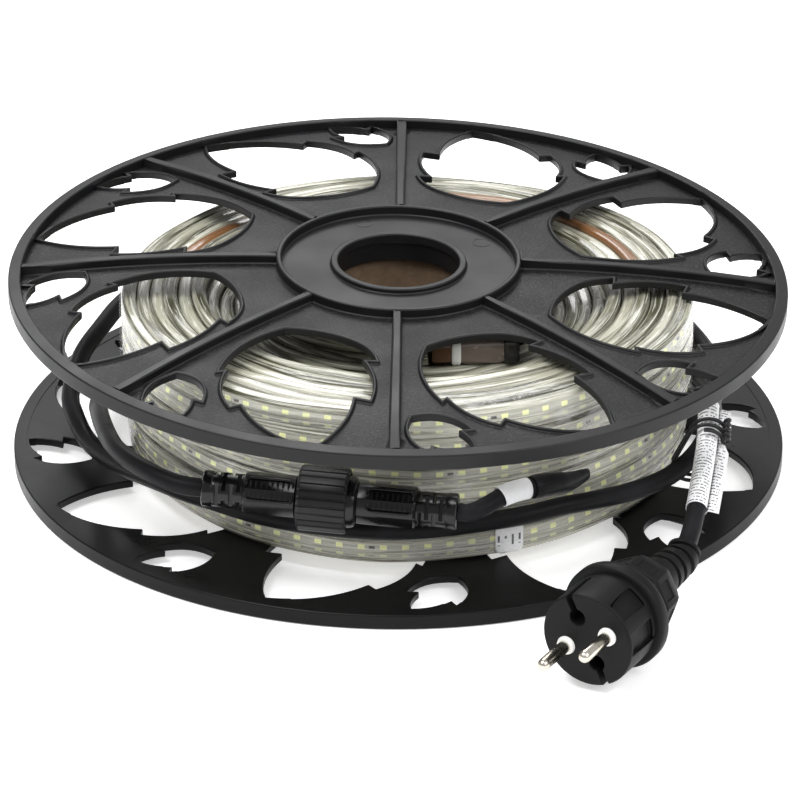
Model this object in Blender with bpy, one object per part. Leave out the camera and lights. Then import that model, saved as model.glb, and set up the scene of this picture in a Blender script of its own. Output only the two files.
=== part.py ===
"""LED strip light wound on a flat black reel, with a screw connector and a mains plug.

Two moulded flanges with leaf-shaped openings stand on a cardboard tube. The clear strip lies
between them as one coil. Its lead ends in a screw connector, and the mains cord runs from there
around the coil to a round two-pin plug beside the reel.
Metres, +Z up, origin on the floor under the middle of the lower flange.
"""
import math

import bmesh
import bpy
from mathutils import Matrix, Vector
from mathutils.geometry import delaunay_2d_cdt

MM = 0.001

# Clearances
SEAT = 0.3*MM

# Flange moulding
FLANGE_R = 155.0*MM
FLANGE_DEPTH = 5.8*MM
RIM_WIDTH = 5.0*MM
PLATE = 2.0*MM
HUB_RING_R = 48.6*MM
HUB_RING_WIDTH = 1.9*MM
RIB_WIDTH_HUB = 3.0*MM
RIB_WIDTH_RIM = 4.0*MM
SECTORS = 8
HOLE_R = 24.2*MM
LIP_HEIGHT = 2.0*MM
LIP_WIDTH = 1.0*MM
COLLAR_WALL = 1.8*MM
COLLAR_DEPTH = 8.0*MM
RIM_SIDES = 72
HUB_SIDES = 32
RIB_STEPS = 4
LEAF_STEP = 10.5*MM

# How the two flanges stand
UPPER_DOME = 6.7*MM
UPPER_TILT = math.radians(1.16)
UPPER_PITCH = math.radians(1.05)
UPPER_SPIN = math.radians(-0.6)
LOWER_SPIN = math.radians(13.5)

# Cardboard tube
CORE_PROUD = 5.3*MM
CORE_WALL = 3.5*MM
CORE_PLAY = 0.8*MM
CORE_SIDES = 32

# Coil of clear strip
COIL_BORE_R = 58.0*MM
COIL_R = 114.0*MM
COIL_TURNS = 10
COIL_ROWS = 6
COIL_HEIGHT = 64.5*MM
COIL_INNER_DROP = 7.2*MM
COIL_INNER_TURNS = 3
COIL_TURN_GROOVE = 1.7*MM
COIL_ROW_GROOVE = 1.2*MM
COIL_FOOT_INSET = 3.5*MM
COIL_SHIFT_X = 3.5*MM
COIL_SIDES = 36

# Inner end of the strip, lying on the coil
STRIP_END_LENGTH = 34.0*MM
STRIP_END_HEIGHT = 11.0*MM
STRIP_END_THICKNESS = 7.0*MM
STRIP_END_CHAMFER = 2.0*MM
STRIP_END_X = 30.0*MM
STRIP_END_Y = -55.5*MM
STRIP_END_TURN = math.radians(4.0)

# Paper label on the coil's outer face
STRIP_LABEL_AZIMUTH = math.radians(-69.5)
STRIP_LABEL_WIDTH = 11.5*MM
STRIP_LABEL_HEIGHT = 11.0*MM
STRIP_LABEL_LIFT = 0.6*MM
STRIP_LABEL_THICKNESS = 0.4*MM

# The connector's, the cords' and the plug's places are drawn for a coil of this many millimetres
DRAWN_FOR_COIL = 114

# Screw connector: its ends in millimetres, sizes along its axis from the cord's end, and radii
CONNECTOR_START = (-74.0, -121.5, 43.1)
CONNECTOR_END = (22.5, -134.0, 39.2)
COLLAR_R = 7.0*MM
COLLAR_LENGTH = 4.2*MM
BOOT_R = 6.6*MM
BOOT_LENGTH = 11.6*MM
GRIP_R = 8.3*MM
GRIP_GROOVE = 0.8*MM
GRIP_RIDGES = 5
LEFT_GRIP_LENGTH = 20.6*MM
RIGHT_GRIP_LENGTH = 22.4*MM
SHOULDER_R = 9.0*MM
SHOULDER_LENGTH = 3.1*MM
NUT_R = 12.65*MM
NUT_RIB = 0.6*MM
NUT_RIBS = 18
NUT_LENGTH = 19.2*MM
NUT_BACK = 2.5*MM
NUT_BORE_R = 10.9*MM
NECK_R = 7.6*MM
NECK_FLANGE_R = 10.2*MM
NECK_FLANGE = 3.0*MM
THREAD_R = 10.4*MM
RUNNING_GAP = 0.4*MM
CONNECTOR_SIDES = 16

# Cords
CORD_DIAMETER = 7.4*MM
CORD_SPACING = 17.0*MM
END_STEP = 3.0*MM
LEAD_DIAMETER = 7.0*MM
LEAD_SPACING = 7.0*MM
SHRINK_R = 4.7*MM
SHRINK_TIP_R = 1.8*MM
LEAD_LABEL_STEPS = 2
LABEL_PAPER = 0.5*MM

# Folded label on the mains cord, and the wire tie around it
CORD_LABEL_FLAG = 8.3*MM
CORD_LABEL_PINCH = 5.0*MM
CORD_LABEL_ENDS = ((121.2, -61.0, 46.5), (113.9, -116.0, 32.6))
CORD_LABEL_TIE_STATION = 1
TIE_SLANT = 1.35
TIE_WIRE = 1.6*MM
TIE_SIDES = 20

# Mains plug
PLUG_FACE = (69.1, -201.9, 21.1)
PLUG_AXIS = Vector((-0.513, -0.858, -0.014)).normalized()
PLUG_PIN_LINE = Vector((0.769, -0.466, 0.437))
PLUG_FACE_R = 18.5*MM
PLUG_FACE_LENGTH = 19.5*MM
PLUG_SKIRT_R = 21.0*MM
PLUG_SKIRT_LENGTH = 6.0*MM
PLUG_EDGE = 1.0*MM
PLUG_GRIP_R = 16.5*MM
PLUG_TAPER = 6.0*MM
PLUG_TAPER_DROP = 1.5*MM
PLUG_LENGTH = 50.0*MM
PLUG_BOOT_R = 9.0*MM
PLUG_BOOT_END_R = 6.2*MM
PLUG_SIDES = 24
PIN_DIAMETER = 4.8*MM
PIN_LENGTH = 19.0*MM
PIN_SPACING = 19.0*MM
PIN_SIDES = 12
PIN_SLEEVE_WALL = 1.0*MM
PIN_SLEEVE_LENGTH = 1.4*MM

# Big leaf and small leaf of one sector, drawn in 155ths of the flange's radius: corners
# (across, outwards) from the reel's axis, and how far the side after each corner bows out
LEAF_PARTS = 155
BIG_LEAF = (
    (-27.9, 146.0, 3.3),
    (-27.9, 109.6, 0.0),
    (-34.7, 109.0, 2.6),
    (-20.2, 83.2, 0.0),
    (-25.3, 81.6, 1.9),
    (-10.0, 70.9, 2.2),
    (17.1, 72.2, 4.5),
    (26.8, 111.1, 0.0),
    (24.0, 109.2, 2.8),
    (12.4, 132.6, 0.0),
    (9.0, 129.4, 4.8),
)
SMALL_LEAF = (
    (28.1, 146.4, 1.4),
    (29.0, 132.1, 0.0),
    (24.3, 132.6, 4.5),
    (41.7, 117.8, 4.1),
    (44.6, 141.0, 0.0),
    (41.9, 137.6, 1.7),
)

# Route of the mains cord in millimetres: from the connector it goes round the coil twice,
# by the left, the back and the right, and then out to the plug
CORD_ROUTE = (
    (-74.3, -121.46, 43.11),
    (-79.0, -120.8, 43.3),
    (-86.0, -118.2, 43.9),
    (-94.6, -111.0, 44.6),
    (-104.5, -97.0, 44.0),
    (-111.0, -80.0, 42.0),
    (-117.5, -44.0, 36.0),
    (-119.5, -6.0, 24.0),
    (-113.5, 35.0, 14.5),
    (-93.0, 75.0, 10.4),
    (-58.0, 107.0, 10.0),
    (-12.0, 122.0, 10.0),
    (35.0, 118.0, 10.0),
    (78.0, 96.0, 10.4),
    (108.0, 62.0, 13.5),
    (123.0, 20.0, 19.5),
    (125.5, -20.0, 26.5),
    (121.5, -50.0, 30.0),
    (114.5, -67.5, 28.5),
    (104.5, -76.5, 24.5),
    (92.0, -84.5, 23.0),
    (77.0, -96.0, 24.9),
    (62.0, -105.5, 26.7),
    (42.0, -114.0, 26.1),
    (0.0, -120.3, 24.2),
    (-42.0, -112.0, 23.8),
    (-76.8, -92.0, 24.2),
    (-92.5, -78.5, 23.6),
    (-107.4, -58.0, 19.8),
    (-119.0, -38.0, 17.0),
    (-125.0, -25.0, 17.0),
    (-129.5, -13.0, 20.4),
    (-132.0, 0.0, 23.1),
    (-129.2, 26.0, 27.6),
    (-122.5, 45.0, 31.0),
    (-112.4, 70.0, 33.3),
    (-95.0, 92.0, 34.0),
    (-62.0, 113.0, 34.5),
    (-15.0, 125.0, 35.0),
    (32.0, 121.5, 34.5),
    (72.0, 103.0, 34.0),
    (105.0, 68.0, 34.0),
    (123.0, 22.0, 35.0),
    (126.5, -18.0, 39.0),
    (125.0, -40.0, 43.5),
    (121.2, -61.0, 46.5),
    (119.1, -83.0, 40.6),
    (113.9, -116.0, 32.6),
    (112.3, -123.0, 29.8),
    (110.6, -130.0, 27.0),
    (108.4, -135.8, 24.6),
)

# Route of the strip's short lead and of the sleeve over its joint, in millimetres
LEAD_ROUTE = (
    (22.8, -134.04, 39.19),
    (26.5, -134.52, 39.05),
    (32.0, -132.0, 40.0),
    (40.0, -126.5, 42.3),
    (46.8, -122.4, 42.7),
    (50.5, -120.0, 42.3),
)
SHRINK_ROUTE = (
    (50.75, -119.84, 42.27),
    (54.4, -117.5, 41.9),
    (60.5, -113.0, 40.6),
    (65.5, -108.0, 38.8),
    (72.6, -99.6, 37.6),
)

# The plug's boot bends from the plug's axis up to the cord, in millimetres
BOOT_ROUTE = (
    (98.9, -152.1, 21.9),
    (102.9, -146.0, 22.0),
    (106.35, -141.0, 22.55),
    (108.2, -136.3, 24.42),
)

# Sizes worked out from those above
LEAF_UNIT = FLANGE_R/LEAF_PARTS
CORE_LENGTH = COIL_HEIGHT+CORE_PROUD
COLLAR_INNER_R = HOLE_R+LIP_WIDTH
COLLAR_OUTER_R = COLLAR_INNER_R+COLLAR_WALL
CORE_BORE_R = COLLAR_OUTER_R+CORE_PLAY
CORE_R = CORE_BORE_R+CORE_WALL
RIM_INNER_R = FLANGE_R-RIM_WIDTH
HUB_RING_INNER_R = HUB_RING_R-HUB_RING_WIDTH
STACK_Z = FLANGE_DEPTH+SEAT
CORE_TOP_Z = STACK_Z+CORE_LENGTH
UPPER_Z = CORE_TOP_Z+SEAT+CORE_R*math.hypot(math.tan(UPPER_TILT), math.tan(UPPER_PITCH))-UPPER_DOME


def start_clean():
    """Remove the scene's objects and the data they leave behind."""
    for item in list(bpy.data.objects):
        bpy.data.objects.remove(item, do_unlink=True)
    for mesh in list(bpy.data.meshes):
        bpy.data.meshes.remove(mesh)


def material(name, color, roughness, metallic=0.0):
    """A Principled material of one colour."""
    made = bpy.data.materials.new(name)
    made.use_nodes = True
    shader = made.node_tree.nodes["Principled BSDF"]
    shader.inputs["Base Color"].default_value = (*color, 1.0)
    shader.inputs["Roughness"].default_value = roughness
    shader.inputs["Metallic"].default_value = metallic
    return made


def frame(name, matrix):
    """An empty that pieces hang from."""
    empty = bpy.data.objects.new(name, None)
    empty.matrix_world = matrix
    bpy.context.collection.objects.link(empty)
    return empty


def place(name, data, look, parent=None, matrix=None):
    """Link one piece with its own material under its parent."""
    piece = bpy.data.objects.new(name, data)
    data.materials.append(look)
    bpy.context.collection.objects.link(piece)
    piece.parent = parent
    if matrix is not None:
        piece.matrix_local = matrix
    return piece


def finish_mesh(name, shape, sharp=35.0):
    """Turn a bmesh into a mesh that is shaded smooth up to its sharp edges."""
    mesh = bpy.data.meshes.new(name)
    shape.to_mesh(mesh)
    shape.free()
    mesh.shade_smooth()
    mesh.set_sharp_from_angle(angle=math.radians(sharp))
    return mesh


def beside_coil(point):
    """A place drawn in millimetres beside the coil, in metres, moved out as far as the coil grows."""
    spot = Vector(point)*MM
    away = Vector((spot.x-COIL_SHIFT_X, spot.y, 0)).normalized()
    return spot+away*(COIL_R-DRAWN_FOR_COIL*MM)


def smooth_route(points, spacing):
    """Points read at an even spacing from a smooth curve, with a short straight step at each end."""
    knots = [beside_coil(p) for p in points]
    knots = [2*knots[0]-knots[1]]+knots+[2*knots[-1]-knots[-2]]
    fine = []
    for before, here, there, after in zip(knots, knots[1:], knots[2:], knots[3:]):
        for step in range(12):
            t = step/12
            fine.append(0.5*(2*here+(there-before)*t
                             + (2*before-5*here+4*there-after)*t**2
                             + (3*here-before-3*there+after)*t**3))
    fine.append(knots[-2])
    lengths = [0.0]
    for a, b in zip(fine, fine[1:]):
        lengths.append(lengths[-1]+(b-a).length)
    count = max(2, round((lengths[-1]-2*END_STEP)/spacing))
    middle = [END_STEP+(lengths[-1]-2*END_STEP)*number/count for number in range(count+1)]
    picked = []
    index = 0
    for wanted in [0.0, *middle, lengths[-1]]:
        while index < len(fine)-2 and lengths[index+1] < wanted:
            index += 1
        share = (wanted-lengths[index])/max(lengths[index+1]-lengths[index], 1e-12)
        picked.append(fine[index].lerp(fine[index+1], min(1.0, share)))
    return picked


def tube(name, points, diameter, look, cyclic=False):
    """A round cord through the points, with filled ends."""
    curve = bpy.data.curves.new(name, "CURVE")
    curve.dimensions = "3D"
    curve.bevel_depth = diameter/2
    curve.bevel_resolution = 2
    curve.use_fill_caps = True
    spline = curve.splines.new("POLY")
    spline.points.add(len(points)-1)
    for knot, point in zip(spline.points, points):
        knot.co = (*point, 1.0)
    spline.use_cyclic_u = cyclic
    return place(name, curve, look)


def bridge(shape, rows, closed_rows, closed_loop):
    """Faces between rows of vertices; a row of one vertex is a tip."""
    pairs = list(zip(rows, rows[1:]))
    if closed_rows:
        pairs.append((rows[-1], rows[0]))
    for low, high in pairs:
        size = max(len(low), len(high))
        for i in range(size if closed_loop else size-1):
            j = (i+1) % size
            corners = [low[i % len(low)], low[j % len(low)], high[j % len(high)], high[i % len(high)]]
            kept = [c for n, c in enumerate(corners) if c not in corners[:n]]
            shape.faces.new(kept)


def turned(profile, sides, ring=False, radius_at=None):
    """A body turned around Z from (radius, height) points that run up its outer side.

    A ring's profile closes on itself; any other runs from tip to tip. radius_at may change a
    point's radius with its number around the body.
    """
    shape = bmesh.new()
    rows = []
    for radius, height in profile:
        if radius == 0.0:
            rows.append([shape.verts.new((0, 0, height))])
            continue
        row = []
        for number in range(sides):
            angle = 2*math.pi*number/sides
            reach = radius_at(radius, number) if radius_at else radius
            row.append(shape.verts.new((reach*math.cos(angle), reach*math.sin(angle), height)))
        rows.append(row)
    bridge(shape, rows, ring, True)
    return shape


def swept(stations, loops_at):
    """A body swept through (point, ahead, across) stations with outlines at each.

    loops_at gives one outline of (across, up) points at a station, or an outer and an inner
    one with as many points for a body with a bore. An outline runs counterclockwise as seen
    from ahead.
    """
    shape = bmesh.new()
    rows = []
    for number, (point, ahead, across) in enumerate(stations):
        up = ahead.cross(across).normalized()
        side = up.cross(ahead).normalized()
        rows.append([[shape.verts.new(point+side*a+up*b) for a, b in loop] for loop in loops_at(number)])
    bridge(shape, [row[0] for row in rows], False, True)
    if len(rows[0]) == 1:
        shape.faces.new(list(reversed(rows[0][0])))
        shape.faces.new(rows[-1][0])
        return shape
    bridge(shape, [list(reversed(row[1])) for row in rows], False, True)
    bridge(shape, [rows[-1][0], rows[-1][1]], False, True)
    bridge(shape, [rows[0][1], rows[0][0]], False, True)
    return shape


def stations_along(points, across):
    """A station at each point, square to the route."""
    found = []
    for number, point in enumerate(points):
        before = points[max(0, number-1)]
        after = points[min(len(points)-1, number+1)]
        found.append((point, (after-before).normalized(), across))
    return found


def circle(radius, sides):
    """A round outline."""
    return [(radius*math.cos(2*math.pi*n/sides), radius*math.sin(2*math.pi*n/sides))
            for n in range(sides)]


def leaf_outline(corners):
    """A leaf's outline with its bowed sides as arcs, in metres."""
    outline = []
    for number, (x, y, bow) in enumerate(corners):
        start = Vector((x, y))*LEAF_UNIT
        end = Vector(corners[(number+1) % len(corners)][:2])*LEAF_UNIT
        chord = end-start
        outline.append(start)
        if bow == 0.0:
            continue
        out = Vector((chord.y, -chord.x)).normalized()
        steps = max(2, round(chord.length/LEAF_STEP))
        for step in range(1, steps):
            share = step/steps
            outline.append(start+chord*share+out*bow*LEAF_UNIT*4*share*(1-share))
    return outline


def inside(point, outline):
    """Whether a plan point is inside an outline."""
    found = False
    for a, b in zip(outline, outline[1:]+outline[:1]):
        if (a.y > point.y) != (b.y > point.y):
            if point.x < a.x+(b.x-a.x)*(point.y-a.y)/(b.y-a.y):
                found = not found
    return found


def polygon_radius(point, sides):
    """A plan point's radius, measured so that a many-sided circle has one radius all round."""
    step = 2*math.pi/sides
    off = math.atan2(point.y, point.x) % step-step/2
    return point.length*math.cos(off)/math.cos(step/2)


def turn_plan(point, angle):
    """A plan point turned about the axis."""
    c, s = math.cos(angle), math.sin(angle)
    return Vector((c*point.x-s*point.y, s*point.x+c*point.y))


def rib_half_width(reach):
    """Half the width of a rib at a distance from the axis."""
    share = (reach-HUB_RING_R)/(RIM_INNER_R-HUB_RING_R)
    return (RIB_WIDTH_HUB+(RIB_WIDTH_RIM-RIB_WIDTH_HUB)*share)/2


def flange_levels(point, leaves):
    """The moulding's lower and upper height over a plan point, or None in an opening."""
    sector = 2*math.pi/SECTORS
    azimuth = math.atan2(point.y, point.x)
    hub = polygon_radius(point, HUB_SIDES)
    rim = polygon_radius(point, RIM_SIDES)
    if hub < HOLE_R:
        return None
    if hub < COLLAR_INNER_R:
        return (0.0, PLATE+LIP_HEIGHT)
    if hub < COLLAR_OUTER_R:
        return (-COLLAR_DEPTH, PLATE+LIP_HEIGHT)
    if rim > RIM_INNER_R or HUB_RING_INNER_R < hub < HUB_RING_R:
        return (0.0, FLANGE_DEPTH)
    along_rib = turn_plan(point, -sector*round(azimuth/sector))
    if hub > HUB_RING_R and abs(along_rib.y) < rib_half_width(along_rib.x):
        return (0.0, FLANGE_DEPTH)
    centre = sector*(math.floor(azimuth/sector)+0.5)
    in_sector = turn_plan(point, math.pi/2-centre)
    if any(inside(in_sector, leaf) for leaf in leaves):
        return None
    return (0.0, PLATE)


def flange_plan(leaves):
    """Plan triangles of the flange: its circles, ribs and leaves are edges of the pattern."""
    points = []
    edges = []

    def add_line(line, closed):
        first = len(points)
        points.extend(line)
        edges.extend((first+n, first+n+1) for n in range(len(line)-1))
        if closed:
            edges.append((first+len(line)-1, first))

    for radius, sides in ((FLANGE_R, RIM_SIDES), (RIM_INNER_R, RIM_SIDES), (HUB_RING_R, HUB_SIDES),
                          (HUB_RING_INNER_R, HUB_SIDES), (COLLAR_OUTER_R, HUB_SIDES),
                          (COLLAR_INNER_R, HUB_SIDES), (HOLE_R, HUB_SIDES)):
        add_line([Vector(p) for p in circle(radius, sides)], True)
    sector = 2*math.pi/SECTORS
    overlap = HUB_RING_WIDTH/4
    for number in range(SECTORS):
        for side in (-1, 1):
            line = []
            for step in range(RIB_STEPS+1):
                reach = HUB_RING_R-overlap+(RIM_INNER_R-HUB_RING_R+2*overlap)*step/RIB_STEPS
                line.append(turn_plan(Vector((reach, side*rib_half_width(reach))), sector*number))
            add_line(line, False)
        for leaf in leaves:
            add_line([turn_plan(p, sector*(number+0.5)-math.pi/2) for p in leaf], True)
    found = delaunay_2d_cdt(points, edges, [], 1, 1e-6)
    return found[0], found[2]


def flange_shape(dome):
    """The moulding with its smooth side at z = 0 and its ribs above, domed towards the hub."""
    leaves = [leaf_outline(BIG_LEAF), leaf_outline(SMALL_LEAF)]
    plan, triangles = flange_plan(leaves)
    levels = {}
    neighbours = {}
    for number, corners in enumerate(triangles):
        middle = sum((plan[c] for c in corners), Vector((0, 0)))/len(corners)
        levels[number] = flange_levels(middle, leaves)
        for a, b in zip(corners, corners[1:]+corners[:1]):
            neighbours[(a, b)] = number
    shape = bmesh.new()
    made = {}

    def corner(index, height):
        key = (index, round(height, 7))
        if key not in made:
            x, y = plan[index]
            t = (max(plan[index].length, HUB_RING_R)-HUB_RING_R)/(FLANGE_R-HUB_RING_R)
            made[key] = shape.verts.new((x, y, height+dome*max(0.0, 1-t*t)))
        return made[key]

    for number, corners in enumerate(triangles):
        if levels[number] is None:
            continue
        bottom, top = levels[number]
        shape.faces.new([corner(c, top) for c in corners])
        shape.faces.new([corner(c, bottom) for c in reversed(corners)])
        for a, b in zip(corners, corners[1:]+corners[:1]):
            beside = levels.get(neighbours.get((b, a)))
            spans = [(bottom, top)]
            if beside is not None:
                spans = [(bottom, beside[0]), (beside[1], top)]
            for low, high in spans:
                if high-low > 1e-6:
                    shape.faces.new([corner(a, low), corner(b, low), corner(b, high), corner(a, high)])
    return shape


def build_flanges():
    """The lower flange lies smooth side up; the upper one is domed and a little tilted."""
    lower = finish_mesh("lower_flange", flange_shape(0.0), 30.0)
    look = material("lower_flange_plastic", (0.045, 0.045, 0.048), 0.5)
    turn_over = Matrix.Translation((0, 0, FLANGE_DEPTH)) @ Matrix.Rotation(LOWER_SPIN, 4, "Z")
    place("lower_flange", lower, look, None, turn_over @ Matrix.Rotation(math.pi, 4, "X"))
    upper = finish_mesh("upper_flange", flange_shape(UPPER_DOME), 30.0)
    look = material("upper_flange_plastic", (0.045, 0.045, 0.048), 0.5)
    lean = Matrix.Translation((0, 0, UPPER_Z)) @ Matrix.Rotation(UPPER_PITCH, 4, "X")
    lean = lean @ Matrix.Rotation(UPPER_TILT, 4, "Y")
    place("upper_flange", upper, look, None, lean @ Matrix.Rotation(UPPER_SPIN, 4, "Z"))


def build_core():
    """The cardboard tube between the flanges, around their collars."""
    profile = [(CORE_BORE_R, 0.0), (CORE_R, 0.0), (CORE_R, CORE_LENGTH), (CORE_BORE_R, CORE_LENGTH)]
    mesh = finish_mesh("core_tube", turned(profile, CORE_SIDES, ring=True))
    look = material("core_cardboard", (0.42, 0.27, 0.15), 0.9)
    place("core_tube", mesh, look, None, Matrix.Translation((0, 0, STACK_Z)))


def coil_side_radius(height):
    """The coil's outer radius at a height over its foot: it bulges upwards."""
    share = min(1.0, height/(0.6*COIL_HEIGHT))
    return COIL_R-COIL_FOOT_INSET*(1-share)**2


def coil_top(radius):
    """The height of the coil's upper end over its foot: its inner turns lie lower."""
    pitch = (COIL_R-COIL_BORE_R)/COIL_TURNS
    turns_in = (radius-COIL_BORE_R)/pitch-COIL_INNER_TURNS
    return COIL_HEIGHT-COIL_INNER_DROP*min(1.0, max(0.0, 1-turns_in/1.5))


def coil_profile():
    """The coil's section: grooves between rows outside and between turns on both ends."""
    pitch = (COIL_R-COIL_BORE_R)/COIL_TURNS
    row = COIL_HEIGHT/COIL_ROWS
    foot = coil_side_radius(0.0)
    profile = []
    for turn in range(COIL_TURNS):
        inner = COIL_BORE_R+turn*pitch
        profile.append((inner, COIL_TURN_GROOVE))
        profile.append((min(inner+pitch/2, foot), 0.0))
    for number in range(COIL_ROWS):
        low = number*row
        edge = COIL_TURN_GROOVE if number == 0 else 0.0
        profile.append((coil_side_radius(low)-COIL_ROW_GROOVE, low+edge))
        profile.append((coil_side_radius(low+row/2), low+row/2))
    for turn in reversed(range(COIL_TURNS)):
        outer = COIL_BORE_R+(turn+1)*pitch
        profile.append((outer, coil_top(outer)-COIL_TURN_GROOVE))
        profile.append((outer-pitch/2, coil_top(outer-pitch/2)))
    profile.append((COIL_BORE_R, coil_top(COIL_BORE_R)-COIL_TURN_GROOVE))
    return profile


def build_coil():
    """The wound strip as one turned body, with its inner end and its paper label."""
    clear = (0.72, 0.72, 0.66)
    mesh = finish_mesh("strip_coil", turned(coil_profile(), COIL_SIDES, ring=True), 50.0)
    place("strip_coil", mesh, material("strip_clear", clear, 0.2), None,
          Matrix.Translation((COIL_SHIFT_X, 0, STACK_Z)))

    shape = bmesh.new()
    size = (STRIP_END_LENGTH, STRIP_END_THICKNESS, STRIP_END_HEIGHT)
    bmesh.ops.create_cube(shape, size=1.0, matrix=Matrix.Diagonal((*size, 1.0)))
    bmesh.ops.bevel(shape, geom=list(shape.edges), offset=STRIP_END_CHAMFER, segments=2, profile=0.5,
                    affect="EDGES")
    seat = STACK_Z+COIL_HEIGHT-COIL_INNER_DROP+SEAT+STRIP_END_HEIGHT/2
    end = Matrix.Translation((STRIP_END_X, STRIP_END_Y, seat)) @ Matrix.Rotation(STRIP_END_TURN, 4, "Z")
    place("strip_end", finish_mesh("strip_end", shape), material("strip_end_clear", clear, 0.15), None, end)

    shape = bmesh.new()
    inner_r = coil_side_radius(COIL_HEIGHT/COIL_ROWS/2)+SEAT
    half = STRIP_LABEL_WIDTH/inner_r/2
    low = STACK_Z+STRIP_LABEL_LIFT
    rows = []
    for height in (low, low+STRIP_LABEL_HEIGHT):
        row = []
        for radius, order in ((inner_r+STRIP_LABEL_THICKNESS, (-1, -0.33, 0.33, 1)),
                              (inner_r, (1, 0.33, -0.33, -1))):
            for share in order:
                angle = STRIP_LABEL_AZIMUTH+half*share
                row.append(shape.verts.new((COIL_SHIFT_X+radius*math.cos(angle),
                                            radius*math.sin(angle), height)))
        rows.append(row)
    bridge(shape, rows, False, True)
    shape.faces.new(list(reversed(rows[0])))
    shape.faces.new(rows[1])
    place("strip_label", finish_mesh("strip_label", shape),
          material("strip_label_paper", (0.85, 0.85, 0.85), 0.6))


def grip(start, length):
    """The ridged part of a connector half: (radius, height) points from start on."""
    pitch = length/(GRIP_RIDGES*2+1)
    points = [(GRIP_R, start)]
    for ridge in range(GRIP_RIDGES):
        low = start+pitch*(2*ridge+1)
        points.append((GRIP_R, low))
        points.append((GRIP_R-GRIP_GROOVE, low+pitch/2))
        points.append((GRIP_R, low+pitch))
    points.append((GRIP_R, start+length))
    return points


def build_connector():
    """Two halves with strain reliefs, and the loose coupling nut that joins them."""
    start = beside_coil(CONNECTOR_START)
    axis = beside_coil(CONNECTOR_END)-start
    turn = Vector((0, 0, 1)).rotation_difference(axis).to_matrix().to_4x4()
    base = frame("connector_frame", Matrix.Translation(start) @ turn)
    black = (0.02, 0.02, 0.022)
    grip_start = COLLAR_LENGTH+BOOT_LENGTH
    nut_start = grip_start+LEFT_GRIP_LENGTH+SEAT
    flange_start = nut_start+NUT_BACK+RUNNING_GAP
    flange_end = flange_start+NECK_FLANGE

    left = [(0.0, 0.0), (COLLAR_R, 0.0), (COLLAR_R, COLLAR_LENGTH), (BOOT_R, COLLAR_LENGTH),
            (BOOT_R, grip_start)]
    left += grip(grip_start, LEFT_GRIP_LENGTH)
    left += [(NECK_R, grip_start+LEFT_GRIP_LENGTH), (NECK_R, flange_start),
             (NECK_FLANGE_R, flange_start), (NECK_FLANGE_R, flange_end), (0.0, flange_end)]
    place("connector_left", finish_mesh("connector_left", turned(left, CONNECTOR_SIDES)),
          material("connector_left_plastic", black, 0.35), base)

    nut_end = nut_start+NUT_LENGTH
    right_end = axis.length
    boot_start = right_end-COLLAR_LENGTH-BOOT_LENGTH
    shoulder_start = nut_end+SEAT
    right = [(0.0, flange_end+SEAT), (THREAD_R, flange_end+SEAT), (THREAD_R, nut_end-RUNNING_GAP),
             (SHOULDER_R, shoulder_start), (SHOULDER_R, shoulder_start+SHOULDER_LENGTH)]
    right += grip(boot_start-RIGHT_GRIP_LENGTH, RIGHT_GRIP_LENGTH)
    right += [(BOOT_R, boot_start), (BOOT_R, right_end-COLLAR_LENGTH),
              (COLLAR_R, right_end-COLLAR_LENGTH), (COLLAR_R, right_end), (0.0, right_end)]
    place("connector_right", finish_mesh("connector_right", turned(right, CONNECTOR_SIDES)),
          material("connector_right_plastic", black, 0.35), base)

    def ribbed(radius, number):
        return radius-NUT_RIB if radius == NUT_R and number % 2 else radius

    chamfer = NUT_RIB
    bore = [(NECK_R+RUNNING_GAP, 0.0), (NUT_R-2*chamfer, 0.0), (NUT_R, chamfer),
            (NUT_R, NUT_LENGTH-chamfer), (NUT_R-2*chamfer, NUT_LENGTH), (NUT_BORE_R, NUT_LENGTH),
            (NUT_BORE_R, NUT_BACK), (NECK_R+RUNNING_GAP, NUT_BACK)]
    nut = turned(bore, 2*NUT_RIBS, ring=True, radius_at=ribbed)
    place("coupling_nut", finish_mesh("coupling_nut", nut, 20.0),
          material("coupling_nut_plastic", black, 0.3), base, Matrix.Translation((0, 0, nut_start)))


def build_lead():
    """The strip's short lead, its paper ring and the shrunk sleeve that runs onto the coil."""
    points = smooth_route(LEAD_ROUTE, LEAD_SPACING)
    tube("strip_lead", points, LEAD_DIAMETER, material("strip_lead_rubber", (0.02, 0.02, 0.02), 0.5))
    inner = LEAD_DIAMETER/2+SEAT
    rings = [circle(inner+LABEL_PAPER, CONNECTOR_SIDES), circle(inner, CONNECTOR_SIDES)]
    held = stations_along(points, Vector((0, 0, 1)))[-LEAD_LABEL_STEPS-1:]
    place("lead_label", finish_mesh("lead_label", swept(held, lambda number: rings)),
          material("lead_label_paper", (0.85, 0.85, 0.85), 0.6))

    sleeve = smooth_route(SHRINK_ROUTE, LEAD_SPACING)
    last = len(sleeve)-1

    def outline_at(number):
        share = number/last
        return [circle(SHRINK_R+(SHRINK_TIP_R-SHRINK_R)*share**2, 12)]

    shape = swept(stations_along(sleeve, Vector((0, 0, 1))), outline_at)
    place("heat_shrink", finish_mesh("heat_shrink", shape),
          material("heat_shrink_rubber", (0.02, 0.02, 0.02), 0.4))


def label_outline(flag):
    """A paper strip around the cord that ends in a flag, as one outline of (across, up) points."""
    inner = CORD_DIAMETER/2+SEAT
    outer = inner+LABEL_PAPER
    first, last, steps = math.radians(20), math.radians(340), 10
    turns = [first+(last-first)*step/steps for step in range(steps+1)]
    outside = [(outer*math.cos(angle), outer*math.sin(angle)) for angle in turns]
    within = [(inner*math.cos(angle), inner*math.sin(angle)) for angle in reversed(turns)]
    return [(flag, outside[0][1])]+outside+within+[(flag, within[-1][1])]


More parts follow.
